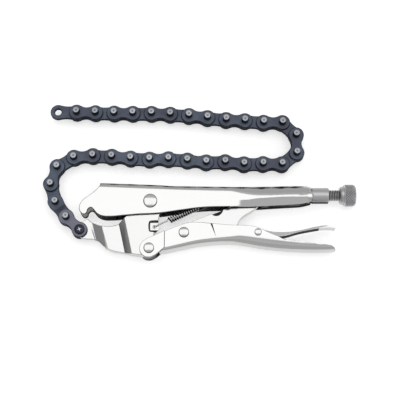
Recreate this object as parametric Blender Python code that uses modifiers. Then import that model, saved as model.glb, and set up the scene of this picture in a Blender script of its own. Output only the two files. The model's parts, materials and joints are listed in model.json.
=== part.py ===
"""Locking chain clamp, lying on its side with its jaws closed and its chain laid out.

Everything is in metres, +Z up. The origin is on the jaw pivot's axis at bench level, +X runs
along the tool to the knob, and +Y is the side where the chain lies.
"""

import math

import bmesh
import bpy
from mathutils import Matrix, Vector

# General fits and faceting.
CLEARANCE = 0.0003
OVERRUN = 0.002
WELD = 0.000001
FLAT = math.radians(0.1)
SHARP = "VECTOR"
ROUND = "AUTO"
OUTLINE_STEPS = 3
HOLE_SIDES = 16
RIVET_SIDES = 12
TURNED_SIDES = 20
CORNER_STEPS = 4
LIP_STEPS = 3
DOME_STEPS = 2

# Pressed channels. The tool lies on its rivet heads and chain pins.
HANDLE_WIDTH = 0.0158
SHEET = 0.0024
LIP_RADIUS = 0.0088
HEAD_RISE = 0.0015
EAR_JOGGLE = 0.00015
HALF_WIDTH = HANDLE_WIDTH / 2
INNER_HALF = HALF_WIDTH - SHEET
REST_HEIGHT = HALF_WIDTH + CLEARANCE + HEAD_RISE

# Both jaws, from the jaw pivot.
JAW_REACH = 0.0583
NOSE_LEAD = 0.0003

# Upper handle, from the jaw pivot.
NOSE_REACH = JAW_REACH + NOSE_LEAD
CHANNEL_REACH = 0.1333
HANDLE_RISE = 0.0165
SCREW_RISE = 0.0065
BARREL_SEAT = 0.0079
BARREL_NECK_LENGTH = 0.0085
BARREL_COLLAR_LENGTH = 0.0139
BARREL_START = CHANNEL_REACH - BARREL_SEAT
BARREL_STEP = BARREL_START + BARREL_NECK_LENGTH
BARREL_END = BARREL_STEP + BARREL_COLLAR_LENGTH
BARREL_RADIUS = 0.0065
BARREL_NECK_RADIUS = 0.0059
BARREL_CHAMFER = 0.0005
TAB_LENGTH = 0.0044
TAB_ROOT = 0.012
TAB_MARGIN = 0.002

# Lower jaw, from the jaw pivot. Its steps and the chain's anchor keep their shares of its reach.
JAW_DROP = 0.0397
JAW_HALF = INNER_HALF - CLEARANCE
ARM_HALF = 0.0042
ARM_FOOT_HALF = 0.003
TONGUE_HALF = 0.0019
JAW_SLANT = math.radians(12.5)
TONGUE_END_SHARE = -0.8456
STEP_ONE_SHARE = -0.741
STEP_TWO_FOOT_SHARE = -0.5009
STEP_TWO_TOP_SHARE = -0.4031
TONGUE_END = TONGUE_END_SHARE * JAW_REACH
STEP_ONE_TOP = STEP_ONE_SHARE * JAW_REACH
STEP_TWO_FOOT = STEP_TWO_FOOT_SHARE * JAW_REACH
STEP_TWO_TOP = STEP_TWO_TOP_SHARE * JAW_REACH
LUG_HALF = 0.0015
LUG_HOLE = Vector((0.0033, -0.0208, 0))
LUG_HOLE_RADIUS = 0.0015
POCKET_LEFT = -0.0008
POCKET_LOW = -0.0255
POCKET_HIGH = -0.0164
ANCHOR_SHARE = -0.99485
ANCHOR_DROP = 0.0234
ANCHOR = Vector((ANCHOR_SHARE * JAW_REACH, -ANCHOR_DROP, 0))

# Lever handle, from its rivet.
LEVER_PIVOT_X = -0.0007
LEVER_PIVOT_Y = -0.0397
LEVER_PIVOT = Vector((LEVER_PIVOT_X, LEVER_PIVOT_Y, 0))
LEVER_LENGTH = 0.1525
LEVER_LIP_SHARE = 0.16
RELEASE_PIVOT_SHARES = (0.5846, 0.0868)

# Toggle link and release lever.
TOGGLE_PIVOT_X = 0.0278
TOGGLE_PIVOT_Y = -0.0267
TOGGLE_PIVOT = Vector((TOGGLE_PIVOT_X, TOGGLE_PIVOT_Y, 0))
TOGGLE_LENGTH = 0.0794
TOGGLE_TIP_RISE = 0.006
TOGGLE_TIP_X = TOGGLE_PIVOT_X + math.sqrt(TOGGLE_LENGTH**2 - (TOGGLE_TIP_RISE - TOGGLE_PIVOT_Y) ** 2)
TOGGLE_BODY_HALF = 0.0036
TOGGLE_TIP_HALF = 0.0024
RELEASE_LENGTH = 0.064
RELEASE_HALF = 0.0048

# Rivets: shank and head radii, and the lowest head's flat land as a share of its head.
JAW_RIVET_RADIUS = 0.0038
JAW_RIVET_HEAD = 0.0057
LEVER_RIVET_RADIUS = 0.0028
LEVER_RIVET_HEAD = 0.00425
RELEASE_RIVET_RADIUS = 0.002
RELEASE_RIVET_HEAD = 0.0029
ANCHOR_RIVET_RADIUS = 0.0026
ANCHOR_RIVET_HEAD = 0.00415
ANCHOR_RIVET_RISE = 0.0015
LAND_SHARE = 0.45

# Adjusting screw and knob, along the screw's axis.
THREAD_RADIUS = 0.00475
THREAD_DEPTH = 0.0006
THREAD_PITCH = 0.0015
THREAD_INSET = 0.001
THREAD_IN_VIEW = 0.0088
THREAD_START = BARREL_STEP + THREAD_INSET
TOGGLE_TO_SCREW = 0.0059
SCREW_TIP = TOGGLE_TIP_X + TOGGLE_TO_SCREW
DOG_RADIUS = 0.003
DOG_CHAMFER = 0.0006
KNOB_START = BARREL_END + THREAD_IN_VIEW
KNOB_LENGTH = 0.0139
KNOB_RADIUS = 0.0093
KNOB_CHAMFER = 0.0011
KNOB_CORNER = 0.0034
COLLAR_LENGTH = 0.0039
COLLAR_RADIUS = 0.0081
COLLAR_FACE_RADIUS = 0.006
GROOVE_DEPTH = 0.0006
GROOVE_WIDTH = 0.0005
SPIGOT_RADIUS = 0.003
SPIGOT_LENGTH = 0.0065

# Return spring.
WIRE_RADIUS = 0.0005
COIL_RADIUS = 0.0023
SPRING_TAB_HOLE = Vector((0.0512, 0.0022, 0))
SPRING_TAB_HOLE_RADIUS = 0.0011
HOOK_DROP = 0.0012
HOOK_BEND = 0.0007
LEG_LENGTH = 0.012
COIL_INSET = 0.0141
COIL_TURNS = 13
COIL_POINTS = 8

# Chain.
PITCH = 0.015875
PLATE = 0.0019
PLATE_RADIUS = 0.0065
OUTER_WAIST = 0.0043
INNER_WAIST = 0.00535
PIN_RADIUS = 0.00254
FORK_FLAT = 0.0055
PIN_SIDES = 10
END_STEPS = 6
INNER_LINK_HALF = PLATE
OUTER_LINK_LOW = PLATE + CLEARANCE
OUTER_LINK_HIGH = 2 * PLATE + CLEARANCE

# How each link of the chain lies, from the anchor to the free end, in degrees from +X.
LINK_HEADINGS = (
    136, 126, 106, 72, 31, 5, -2, -6, -3, 1, -4, -6, 1, -7, 1, -1,
    38, 90, 136, 179, 175, 176, 174, 173, 176, 177, 180, 179, 179, 178, 178,
)

# Side outline that trims the upper handle's channel: shares of its reach and rise.
UPPER_TRIM_SHARES = (
    (SHARP, -0.703, 1.206), (SHARP, -0.717, 0.796), (ROUND, -0.771, 0.561), (ROUND, -0.864, 0.289),
    (ROUND, -0.958, 0.018), (ROUND, -1.0, -0.35), (ROUND, -0.973, -0.591), (ROUND, -0.927, -0.681),
    (ROUND, -0.891, -0.597), (ROUND, -0.878, -0.446), (ROUND, -0.834, -0.338),
    (ROUND, -0.796, -0.434), (ROUND, -0.75, -0.627), (ROUND, -0.674, -0.766),
    (ROUND, -0.56, -0.796), (ROUND, -0.353, -0.736), (SHARP, -0.155, -0.675),
    (ROUND, 0.051, -0.627), (ROUND, 0.184, -0.476), (ROUND, 0.322, -0.332), (SHARP, 0.493, -0.295),
    (SHARP, 0.523, -0.543), (SHARP, 1.12, -0.543), (SHARP, 1.12, 1.206),
)

# Upper handle sections: place, top, lip edge, half width, inner corner, and lip sweep in degrees.
UPPER_SECTION_SHARES = (
    (-1.053, 1.049, -0.905, 1.0, 0.182, 2),
    (-0.34, 0.947, -0.905, 1.0, 0.182, 2),
    (0.06, 0.886, -0.844, 1.0, 0.182, 2),
    (0.127, 0.844, -0.784, 1.0, 0.182, 2),
    (0.493, 0.802, -0.32, 1.0, 0.182, 2),
    (0.53, 0.804, -0.298, 1.0, 0.273, 8),
    (0.59, 0.816, -0.305, 1.0, 0.582, 22),
    (0.657, 0.84, -0.285, 1.0, 0.873, 38),
    (0.746, 0.86, -0.245, 1.0, 0.945, 46),
    (0.84, 0.882, -0.2, 1.0, 0.945, 48),
    (0.933, 0.9, -0.15, 1.0, 0.945, 50),
    (0.978, 0.86, -0.07, 0.975, 0.755, 55),
    (1.0, 0.79, -0.02, 0.873, 0.711, 55),
)

# Side outline of the lower jaw: shares of its reach and drop.
JAW_SHARES = (
    (ROUND, -1.0, -0.441), (ROUND, -1.099, -0.586), (ROUND, -1.0, -0.732), (ROUND, -0.901, -0.782),
    (ROUND, -0.811, -0.789), (ROUND, -0.727, -0.837), (ROUND, -0.64, -0.952),
    (ROUND, -0.529, -1.035), (ROUND, -0.41, -1.063), (ROUND, -0.247, -1.108),
    (ROUND, -0.119, -1.153), (ROUND, -0.012, -1.175), (ROUND, 0.108, -1.0),
    (ROUND, 0.089, -0.827), (ROUND, 0.055, -0.682), (ROUND, 0.096, -0.617),
    (ROUND, 0.126, -0.531), (ROUND, 0.113, -0.436), (ROUND, 0.123, -0.338),
    (ROUND, 0.147, -0.15), (ROUND, 0.154, 0.0), (ROUND, 0.0, 0.226), (ROUND, -0.147, 0.063),
    (ROUND, -0.23, -0.125), (SHARP, -0.348, -0.318), (SHARP, -0.449, -0.474),
    (ROUND, -0.503, -0.501), (ROUND, -0.616, -0.516), (ROUND, -0.708, -0.499),
    (ROUND, -0.794, -0.449), (ROUND, -0.838, -0.414), (SHARP, -0.889, -0.346),
)

# Side outline that trims the lever handle's channel: shares of its length from the rivet.
LEVER_TRIM_SHARES = (
    (SHARP, 0.054, -0.066), (SHARP, 0.054, 0.078), (ROUND, 0.121, 0.109), (ROUND, 0.166, 0.126),
    (ROUND, 0.202, 0.138), (ROUND, 0.241, 0.142), (ROUND, 0.322, 0.137), (ROUND, 0.435, 0.127),
    (ROUND, 0.559, 0.12), (ROUND, 0.599, 0.108), (ROUND, 0.631, 0.091), (ROUND, 0.688, 0.066),
    (ROUND, 0.724, 0.049), (ROUND, 0.774, 0.042), (ROUND, 0.845, 0.031), (ROUND, 0.909, 0.022),
    (ROUND, 0.952, 0.02), (ROUND, 0.98, 0.012), (ROUND, 0.998, -0.007), (SHARP, 0.983, -0.066),
)

# Lever handle sections: place, bottom of the web, and inner corner.
LEVER_SECTION_SHARES = (
    (0.054, -0.0176, 0.182), (0.083, -0.0163, 0.182), (0.148, -0.0033, 0.182),
    (0.253, 0.0189, 0.182), (0.344, 0.0294, 0.182), (0.435, 0.032, 0.2), (0.487, 0.0241, 0.75),
    (0.598, 0.0046, 0.945), (0.709, -0.0085, 0.945), (0.853, -0.0157, 0.836),
    (0.957, -0.0137, 0.473), (1.009, -0.0085, 0.109),
)

# Ears that straddle the lower jaw: shares of the lever's length.
EAR_SHARES = (
    (ROUND, -0.05, 0.0), (ROUND, -0.037, 0.032), (ROUND, -0.011, 0.052), (ROUND, 0.023, 0.067),
    (SHARP, 0.083, 0.091), (SHARP, 0.083, 0.003), (ROUND, 0.063, -0.014),
    (ROUND, 0.032, -0.038), (ROUND, 0.0, -0.05), (ROUND, -0.035, -0.037),
)

# Toggle link, along the line from its rivet to its tip.
TOGGLE_SHARES = (
    (ROUND, -0.069, 0.031), (ROUND, -0.031, -0.069), (ROUND, 0.182, -0.119), (ROUND, 0.366, -0.168),
    (ROUND, 0.48, -0.189), (ROUND, 0.539, -0.143), (ROUND, 0.597, -0.1), (ROUND, 0.753, -0.07),
    (ROUND, 0.891, -0.04), (ROUND, 1.001, -0.034), (ROUND, 1.03, -0.013), (ROUND, 1.006, 0.032),
    (SHARP, 0.365, 0.072), (SHARP, 0.121, 0.083), (ROUND, 0.026, 0.071),
)
TOGGLE_BOSS_SHARE = 0.08
TOGGLE_BODY_SHARE = 0.11
TOGGLE_THIN_SHARES = (0.8, 0.85)
TOGGLE_END_SHARE = 1.1

# Release lever, from its rivet towards the end of the lever handle.
RELEASE_SHARES = (
    (ROUND, -0.146, 0.04), (ROUND, -0.084, 0.072), (ROUND, 0.028, 0.065), (ROUND, 0.183, 0.034),
    (ROUND, 0.372, 0.037), (ROUND, 0.501, 0.05), (ROUND, 0.63, 0.073), (ROUND, 0.759, 0.096),
    (ROUND, 0.861, 0.103), (ROUND, 0.956, 0.098), (ROUND, 1.003, 0.065), (ROUND, 0.953, 0.067),
    (ROUND, 0.863, 0.068), (ROUND, 0.628, 0.025), (ROUND, 0.508, 0.0), (ROUND, 0.387, -0.039),
    (ROUND, 0.3, -0.056), (ROUND, 0.173, -0.047), (ROUND, 0.017, -0.072), (ROUND, -0.092, -0.045),
)

# The knob's rounded end, out to its side: inset from the side and drop from the end.
KNOB_END_SHARES = ((0.85, 0.0), (0.45, 0.13), (0.14, 0.45), (0.0, 1.0))

# The wire's turn from its leg into the first coil: place as a share of the coil's inset, angle.
COIL_LEAD_SHARES = ((0.915, 75), (0.965, 50))
COIL_FIRST_ANGLE = 20
LEG_ANGLE = 90


for leftover in list(bpy.data.objects):
    bpy.data.objects.remove(leftover)

PARTS = bpy.data.collections.new("locking_chain_clamp")
CUTTERS = bpy.data.collections.new("cutters")
bpy.context.scene.collection.children.link(PARTS)
bpy.context.scene.collection.children.link(CUTTERS)


def material(name, color, roughness, metallic):
    """A Principled material with one colour."""
    made = bpy.data.materials.new(name)
    made.use_nodes = True
    shader = made.node_tree.nodes["Principled BSDF"]
    shader.inputs["Base Color"].default_value = (*color, 1)
    shader.inputs["Roughness"].default_value = roughness
    shader.inputs["Metallic"].default_value = metallic
    made.diffuse_color = (*color, 1)
    return made


NICKEL = material("bright_nickel", (0.78, 0.78, 0.77), 0.22, 1.0)
RIVET_STEEL = material("rivet_steel", (0.7, 0.7, 0.69), 0.25, 1.0)
DARK_STEEL = material("dark_steel", (0.35, 0.36, 0.36), 0.4, 1.0)
SPRING_STEEL = material("spring_steel", (0.45, 0.45, 0.46), 0.3, 1.0)
CHAIN_OXIDE = material("chain_black_oxide", (0.13, 0.14, 0.16), 0.4, 1.0)
CHAIN_GREY = material("chain_grey_steel", (0.42, 0.42, 0.47), 0.35, 1.0)


def add_object(name, data):
    """A new object of the clamp."""
    added = bpy.data.objects.new(name, data)
    PARTS.objects.link(added)
    return added


def tidy_mesh(mesh):
    """Welds loose caps to their sides, turns every face outwards and makes flat areas one face."""
    shape = bmesh.new()
    shape.from_mesh(mesh)
    bmesh.ops.remove_doubles(shape, verts=shape.verts, dist=WELD)
    bmesh.ops.recalc_face_normals(shape, faces=shape.faces)
    bmesh.ops.dissolve_limit(shape, angle_limit=FLAT, verts=shape.verts, edges=shape.edges)
    shape.to_mesh(mesh)
    shape.free()


def meshed(source):
    """A plain mesh of what an object evaluates to; the object itself is removed."""
    bpy.context.view_layer.update()
    graph = bpy.context.evaluated_depsgraph_get()
    mesh = bpy.data.meshes.new_from_object(source.evaluated_get(graph))
    mesh.name = source.name
    bpy.data.objects.remove(source)
    return mesh


def extruded(name, points, half, bezier=True):
    """A closed outline in XY as a plate, half its thickness to each side of the XY plane."""
    curve = bpy.data.curves.new(name, "CURVE")
    curve.dimensions = "2D"
    curve.fill_mode = "BOTH"
    curve.extrude = half
    spline = curve.splines.new("BEZIER" if bezier else "POLY")
    if bezier:
        spline.bezier_points.add(len(points) - 1)
        for point, (_, x, y) in zip(spline.bezier_points, points):
            point.co = (x, y, 0)
        for point, (handle, _, _) in zip(spline.bezier_points, points):
            point.handle_left_type = handle
            point.handle_right_type = handle
        spline.resolution_u = OUTLINE_STEPS
    else:
        spline.points.add(len(points) - 1)
        for point, (x, y) in zip(spline.points, points):
            point.co = (x, y, 0, 1)
    spline.use_cyclic_u = True
    mesh = meshed(add_object(name, curve))
    tidy_mesh(mesh)
    return add_object(name, mesh)


def scaled(shares, left, right, rise):
    """Outline points from shares: left and right of the pivot have their own reach."""
    return [(handle, x * (left if x < 0 else right), y * rise) for handle, x, y in shares]


def turned(name, profile, steps):
    """A solid of revolution about its own Z. The profile runs down from the top pole."""
    mesh = bpy.data.meshes.new(name)
    shape = bmesh.new()
    points = [shape.verts.new((radius, 0, height)) for radius, height in profile]
    for upper, lower in zip(points, points[1:]):
        shape.edges.new((upper, lower))
    shape.to_mesh(mesh)
    shape.free()
    solid = add_object(name, mesh)
    screw = solid.modifiers.new("turn", "SCREW")
    screw.angle = math.tau
    screw.steps = steps
    screw.render_steps = steps
    screw.use_merge_vertices = True
    screw.merge_threshold = WELD
    screw.use_smooth_shade = True
    return solid


def cylinder(name, radius, start, end, sides=HOLE_SIDES):
    """A round bar along its own Z."""
    mesh = bpy.data.meshes.new(name)
    shape = bmesh.new()
    middle = Matrix.Translation((0, 0, (start + end) / 2))
    bmesh.ops.create_cone(
        shape, cap_ends=True, segments=sides, radius1=radius, radius2=radius,
        depth=end - start, matrix=middle,
    )
    shape.to_mesh(mesh)
    shape.free()
    return add_object(name, mesh)


def block(name, low, high):
    """A box between two corners."""
    mesh = bpy.data.meshes.new(name)
    shape = bmesh.new()
    low = Vector(low)
    high = Vector(high)
    place = Matrix.Translation((low + high) / 2) @ Matrix.Diagonal((*(high - low), 1))
    bmesh.ops.create_cube(shape, size=1, matrix=place)
    shape.to_mesh(mesh)
    shape.free()
    return add_object(name, mesh)


def combine(target, tool, operation):
    """Joins, cuts or trims the target by a tool that stays with it as a wire guide."""
    PARTS.objects.unlink(tool)
    CUTTERS.objects.link(tool)
    tool.parent = target
    tool.hide_render = True
    tool.display_type = "WIRE"
    boolean = target.modifiers.new(tool.name, "BOOLEAN")
    boolean.operation = operation
    boolean.solver = "EXACT"
    boolean.object = tool


def drill(target, place, radius, half, sides=HOLE_SIDES):
    """A hole along Z right through the target."""
    hole = cylinder(f"{target.name}_hole", radius, -half - OVERRUN, half + OVERRUN, sides)
    hole.location = place
    combine(target, hole, "DIFFERENCE")


def along_x():
    """Turns a piece made about Z so that its axis runs along X."""
    return Matrix.Rotation(math.radians(90), 4, "Y")


def finish(piece, look, parent, place, turn=0):
    """Gives a piece its material and sets it on its carrier, turned about Z."""
    piece.data.materials.append(look)
    piece.parent = parent
    piece.location = place
    piece.rotation_euler = (0, 0, turn)


def channel_ring(x, half, web, edge, corner_share, sweep_degrees):
    """One section of a pressed channel: corners at the web, cheeks, and lips that roll inwards."""
    side = 1 if web > edge else -1
    top = side * web
    low = side * edge
    inner_corner = corner_share * (half - SHEET)
    corner_z = half - SHEET - inner_corner
    corner_y = top - SHEET - inner_corner
    sweep = math.radians(sweep_degrees)
    lip_z = half - LIP_RADIUS
    lip_y = low + LIP_RADIUS * math.sin(sweep)
    outer = []
    inner = []
    for step in range(CORNER_STEPS + 1):
        angle = math.radians(90) * (1 - step / CORNER_STEPS)
        for run, radius in ((outer, inner_corner + SHEET), (inner, inner_corner)):
            run.append((corner_y + radius * math.sin(angle), corner_z + radius * math.cos(angle)))
    for step in range(LIP_STEPS + 1):
        angle = -sweep * step / LIP_STEPS
        for run, radius in ((outer, LIP_RADIUS), (inner, LIP_RADIUS - SHEET)):
            run.append((lip_y + radius * math.sin(angle), lip_z + radius * math.cos(angle)))
    right = outer + inner[::-1]
    left = [(y, -z) for y, z in inner + outer[::-1]]
    return [Vector((x, side * y, z)) for y, z in right + left]


def loft(name, rings):
    """Bridges sections of equal count into one closed solid."""
    mesh = bpy.data.meshes.new(name)
    shape = bmesh.new()
    rows = [[shape.verts.new(point) for point in ring] for ring in rings]
    count = len(rows[0])
    for row, following in zip(rows, rows[1:]):
        for index in range(count):
            after = (index + 1) % count
            shape.faces.new((row[index], row[after], following[after], following[index]))
    shape.faces.new(rows[0])
    shape.faces.new(rows[-1])
    bmesh.ops.recalc_face_normals(shape, faces=shape.faces)
    shape.to_mesh(mesh)
    shape.free()
    return add_object(name, mesh)


def upper_handle(frame):
    """Pressed channel with a hooked nose, the screw's barrel, and a tab for the spring."""
    rings = []
    for x, top, low, width, corner, sweep in UPPER_SECTION_SHARES:
        place = x * (NOSE_REACH if x < 0 else CHANNEL_REACH)
        rings.append(
            channel_ring(place, width * HALF_WIDTH, top * HANDLE_RISE, low * HANDLE_RISE, corner, sweep)
        )
    handle = loft("upper_handle", rings)
    trim_points = scaled(UPPER_TRIM_SHARES, NOSE_REACH, CHANNEL_REACH, HANDLE_RISE)
    combine(handle, extruded("upper_handle_trim", trim_points, HALF_WIDTH + OVERRUN), "INTERSECT")
    barrel = turned(
        "barrel",
        (
            (0, BARREL_END),
            (BARREL_RADIUS - BARREL_CHAMFER, BARREL_END),
            (BARREL_RADIUS, BARREL_END - BARREL_CHAMFER),
            (BARREL_RADIUS, BARREL_STEP),
            (BARREL_NECK_RADIUS, BARREL_STEP - (BARREL_RADIUS - BARREL_NECK_RADIUS)),
            (BARREL_NECK_RADIUS, BARREL_START),
            (0, BARREL_START),
        ),
        TURNED_SIDES,
    )
    barrel.matrix_basis = Matrix.Translation((0, SCREW_RISE, 0)) @ along_x()
    combine(handle, barrel, "UNION")
    tab_x = SPRING_TAB_HOLE.x
    tab = block(
        "spring_tab",
        (tab_x - TAB_LENGTH / 2, SPRING_TAB_HOLE.y - TAB_MARGIN, -LUG_HALF),
        (tab_x + TAB_LENGTH / 2, TAB_ROOT, LUG_HALF),
    )
    combine(handle, tab, "UNION")
    bore = cylinder(
        "barrel_bore", THREAD_RADIUS + CLEARANCE, BARREL_START - OVERRUN, BARREL_END + OVERRUN,
        TURNED_SIDES,
    )
    bore.matrix_basis = Matrix.Translation((0, SCREW_RISE, 0)) @ along_x()
    combine(handle, bore, "DIFFERENCE")
    drill(handle, SPRING_TAB_HOLE, SPRING_TAB_HOLE_RADIUS, LUG_HALF, PIN_SIDES)
    drill(handle, (0, 0, 0), JAW_RIVET_RADIUS + CLEARANCE, HALF_WIDTH)
    finish(handle, NICKEL, frame, (0, 0, 0))
    return handle


def lower_jaw(frame):
    """Forged jaw that thins in two bevelled steps to the tongue that carries the chain."""
    jaw = extruded("lower_jaw", scaled(JAW_SHARES, JAW_REACH, JAW_REACH, JAW_DROP), JAW_HALF + OVERRUN)
    left = -2 * JAW_REACH
    right = JAW_REACH
    upper_side = (
        (left, TONGUE_HALF), (TONGUE_END, TONGUE_HALF), (STEP_ONE_TOP, ARM_HALF),
        (STEP_TWO_FOOT, ARM_FOOT_HALF), (STEP_TWO_TOP, JAW_HALF), (right, JAW_HALF),
    )
    lower_side = tuple((x, -z) for x, z in reversed(upper_side))
    thickness = extruded("lower_jaw_steps", upper_side + lower_side, 2 * JAW_DROP, bezier=False)
    thickness.matrix_basis = Matrix.Rotation(JAW_SLANT, 4, "Z") @ Matrix.Rotation(math.radians(90), 4, "X")
    combine(jaw, thickness, "INTERSECT")
    for name, low, high in (
        ("upper_pocket", LUG_HALF, JAW_HALF + OVERRUN),
        ("lower_pocket", -JAW_HALF - OVERRUN, -LUG_HALF),
    ):
        pocket = block(name, (POCKET_LEFT, POCKET_LOW, low), (JAW_REACH / 2, POCKET_HIGH, high))
        combine(jaw, pocket, "DIFFERENCE")
    drill(jaw, (0, 0, 0), JAW_RIVET_RADIUS + CLEARANCE, JAW_HALF)
    drill(jaw, LEVER_PIVOT, LEVER_RIVET_RADIUS + CLEARANCE, JAW_HALF)
    drill(jaw, ANCHOR, ANCHOR_RIVET_RADIUS + CLEARANCE, TONGUE_HALF)
    drill(jaw, LUG_HOLE, LUG_HOLE_RADIUS, LUG_HALF, PIN_SIDES)
    finish(jaw, NICKEL, frame, (0, 0, 0))
    return jaw


def lever_handle(frame):
    """Pressed channel, open at the top, with two ears round the lower jaw."""
    rings = []
    for x, web, corner in LEVER_SECTION_SHARES:
        lip = LEVER_LIP_SHARE * LEVER_LENGTH
        rings.append(channel_ring(x * LEVER_LENGTH, HALF_WIDTH, web * LEVER_LENGTH, lip, corner, 2))
    lever = loft("lever_handle", rings)
    trim_points = scaled(LEVER_TRIM_SHARES, LEVER_LENGTH, LEVER_LENGTH, LEVER_LENGTH)
    combine(lever, extruded("lever_handle_trim", trim_points, HALF_WIDTH + OVERRUN), "INTERSECT")
    ear_points = scaled(EAR_SHARES, LEVER_LENGTH, LEVER_LENGTH, LEVER_LENGTH)
    for side in (1, -1):
        ear = extruded("ear", ear_points, SHEET / 2)
        ear.location = (0, 0, side * (INNER_HALF + SHEET / 2 + EAR_JOGGLE))
        combine(lever, ear, "UNION")
    drill(lever, (0, 0, 0), LEVER_RIVET_RADIUS + CLEARANCE, HALF_WIDTH + EAR_JOGGLE)
    drill(lever, TOGGLE_PIVOT - LEVER_PIVOT, LEVER_RIVET_RADIUS + CLEARANCE, HALF_WIDTH)
    drill(lever, RELEASE_PIVOT - LEVER_PIVOT, RELEASE_RIVET_RADIUS + CLEARANCE, HALF_WIDTH)
    finish(lever, NICKEL, frame, LEVER_PIVOT)
    return lever


def toggle_link(frame):
    """Bar from the lever handle to the adjusting screw, thinner towards its tip."""
    link = extruded(
        "toggle_link", scaled(TOGGLE_SHARES, TOGGLE_LENGTH, TOGGLE_LENGTH, TOGGLE_LENGTH),
        JAW_HALF + OVERRUN,
    )
    thin_start, thin_end = TOGGLE_THIN_SHARES
    upper_side = (
        (-TOGGLE_END_SHARE * TOGGLE_LENGTH, JAW_HALF),
        (TOGGLE_BOSS_SHARE * TOGGLE_LENGTH, JAW_HALF),
        (TOGGLE_BODY_SHARE * TOGGLE_LENGTH, TOGGLE_BODY_HALF),
        (thin_start * TOGGLE_LENGTH, TOGGLE_BODY_HALF),
        (thin_end * TOGGLE_LENGTH, TOGGLE_TIP_HALF),
        (TOGGLE_END_SHARE * TOGGLE_LENGTH, TOGGLE_TIP_HALF),
    )
    lower_side = tuple((x, -z) for x, z in reversed(upper_side))
    thickness = extruded("toggle_link_steps", upper_side + lower_side, TOGGLE_LENGTH / 2, bezier=False)
    thickness.rotation_euler = (math.radians(90), 0, 0)
    combine(link, thickness, "INTERSECT")
    drill(link, (0, 0, 0), LEVER_RIVET_RADIUS + CLEARANCE, JAW_HALF)
    rise = TOGGLE_TIP_RISE - TOGGLE_PIVOT.y
    finish(link, NICKEL, frame, TOGGLE_PIVOT, math.asin(rise / TOGGLE_LENGTH))
    return link


def release_lever(frame):
    """Paddle inside the lever handle that a finger presses to unlock the tool."""
    points = scaled(RELEASE_SHARES, RELEASE_LENGTH, RELEASE_LENGTH, RELEASE_LENGTH)
    lever = extruded("release_lever", points, RELEASE_HALF)
    drill(lever, (0, 0, 0), RELEASE_RIVET_RADIUS + CLEARANCE, RELEASE_HALF)
    finish(lever, NICKEL, frame, RELEASE_PIVOT)
    return lever


def dome(radius, flat, low, high):
    """Points of a domed head's edge, from its crown's flat at `high` out to its rim at `low`."""
    points = []
    for step in range(DOME_STEPS + 1):
        angle = math.radians(90) * step / DOME_STEPS
        points.append((flat + (radius - flat) * math.sin(angle), low + (high - low) * math.cos(angle)))
    return points


def rivet(name, shank, head, under, reach, frame, place):
    """Rivet with a domed head above and a flat-bottomed head below."""
    upper = dome(head, 0, under, reach)
    lower = [(radius, -height) for radius, height in reversed(dome(head, LAND_SHARE * head, under, reach))]
    profile = [*upper, (shank, under), (shank, -under), *lower, (0, -reach)]
    made = turned(name, profile, RIVET_SIDES)
    finish(made, RIVET_STEEL, frame, place)
    return made


def adjusting_screw(frame):
    """Screw with a plain inner end for the toggle and a spigot that carries the knob."""
    spigot_end = KNOB_START + SPIGOT_LENGTH
    profile = [(0, spigot_end), (SPIGOT_RADIUS, spigot_end), (SPIGOT_RADIUS, KNOB_START - CLEARANCE)]
    crest = KNOB_START - CLEARANCE - THREAD_PITCH / 2
    profile.append((THREAD_RADIUS - THREAD_DEPTH, KNOB_START - CLEARANCE))
    while crest - THREAD_PITCH / 2 > THREAD_START:
        profile.append((THREAD_RADIUS, crest))
        profile.append((THREAD_RADIUS - THREAD_DEPTH, crest - THREAD_PITCH / 2))
        crest -= THREAD_PITCH
    profile.append((DOG_RADIUS, THREAD_START - THREAD_PITCH))
    profile.append((DOG_RADIUS, SCREW_TIP + DOG_CHAMFER))
    profile.append((DOG_RADIUS - DOG_CHAMFER, SCREW_TIP))
    profile.append((0, SCREW_TIP))
    screw = turned("adjusting_screw", profile, RIVET_SIDES)
    finish(screw, DARK_STEEL, frame, (0, SCREW_RISE, 0))
    screw.rotation_euler = (0, math.radians(90), 0)
    return screw


def knurled_knob(frame):
    """Knob with a rounded collar, a groove, and a barrel to grip."""
    end = KNOB_START + KNOB_LENGTH
    collar_end = KNOB_START + COLLAR_LENGTH
    collar_rise = COLLAR_RADIUS - COLLAR_FACE_RADIUS
    bore = SPIGOT_RADIUS + CLEARANCE
    bore_end = KNOB_START + SPIGOT_LENGTH + CLEARANCE
    profile = [
        (0, end),
        *((KNOB_RADIUS - inset * KNOB_CORNER, end - drop * KNOB_CORNER) for inset, drop in KNOB_END_SHARES),
        (KNOB_RADIUS, collar_end + GROOVE_WIDTH + KNOB_CHAMFER / 2),
        (KNOB_RADIUS - KNOB_CHAMFER / 2, collar_end + GROOVE_WIDTH),
        (COLLAR_RADIUS - GROOVE_DEPTH, collar_end + GROOVE_WIDTH),
        (COLLAR_RADIUS - GROOVE_DEPTH, collar_end),
        (COLLAR_RADIUS, collar_end),
        (COLLAR_RADIUS, KNOB_START + collar_rise),
        (COLLAR_FACE_RADIUS + collar_rise / 2, KNOB_START + collar_rise / 4),
        (COLLAR_FACE_RADIUS, KNOB_START),
        (bore, KNOB_START),
        (bore, bore_end),
        (0, bore_end),
    ]
    knob = turned("knurled_knob", profile, TURNED_SIDES)
    finish(knob, NICKEL, frame, (0, SCREW_RISE, 0))
    knob.rotation_euler = (0, math.radians(90), 0)
    return knob


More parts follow.
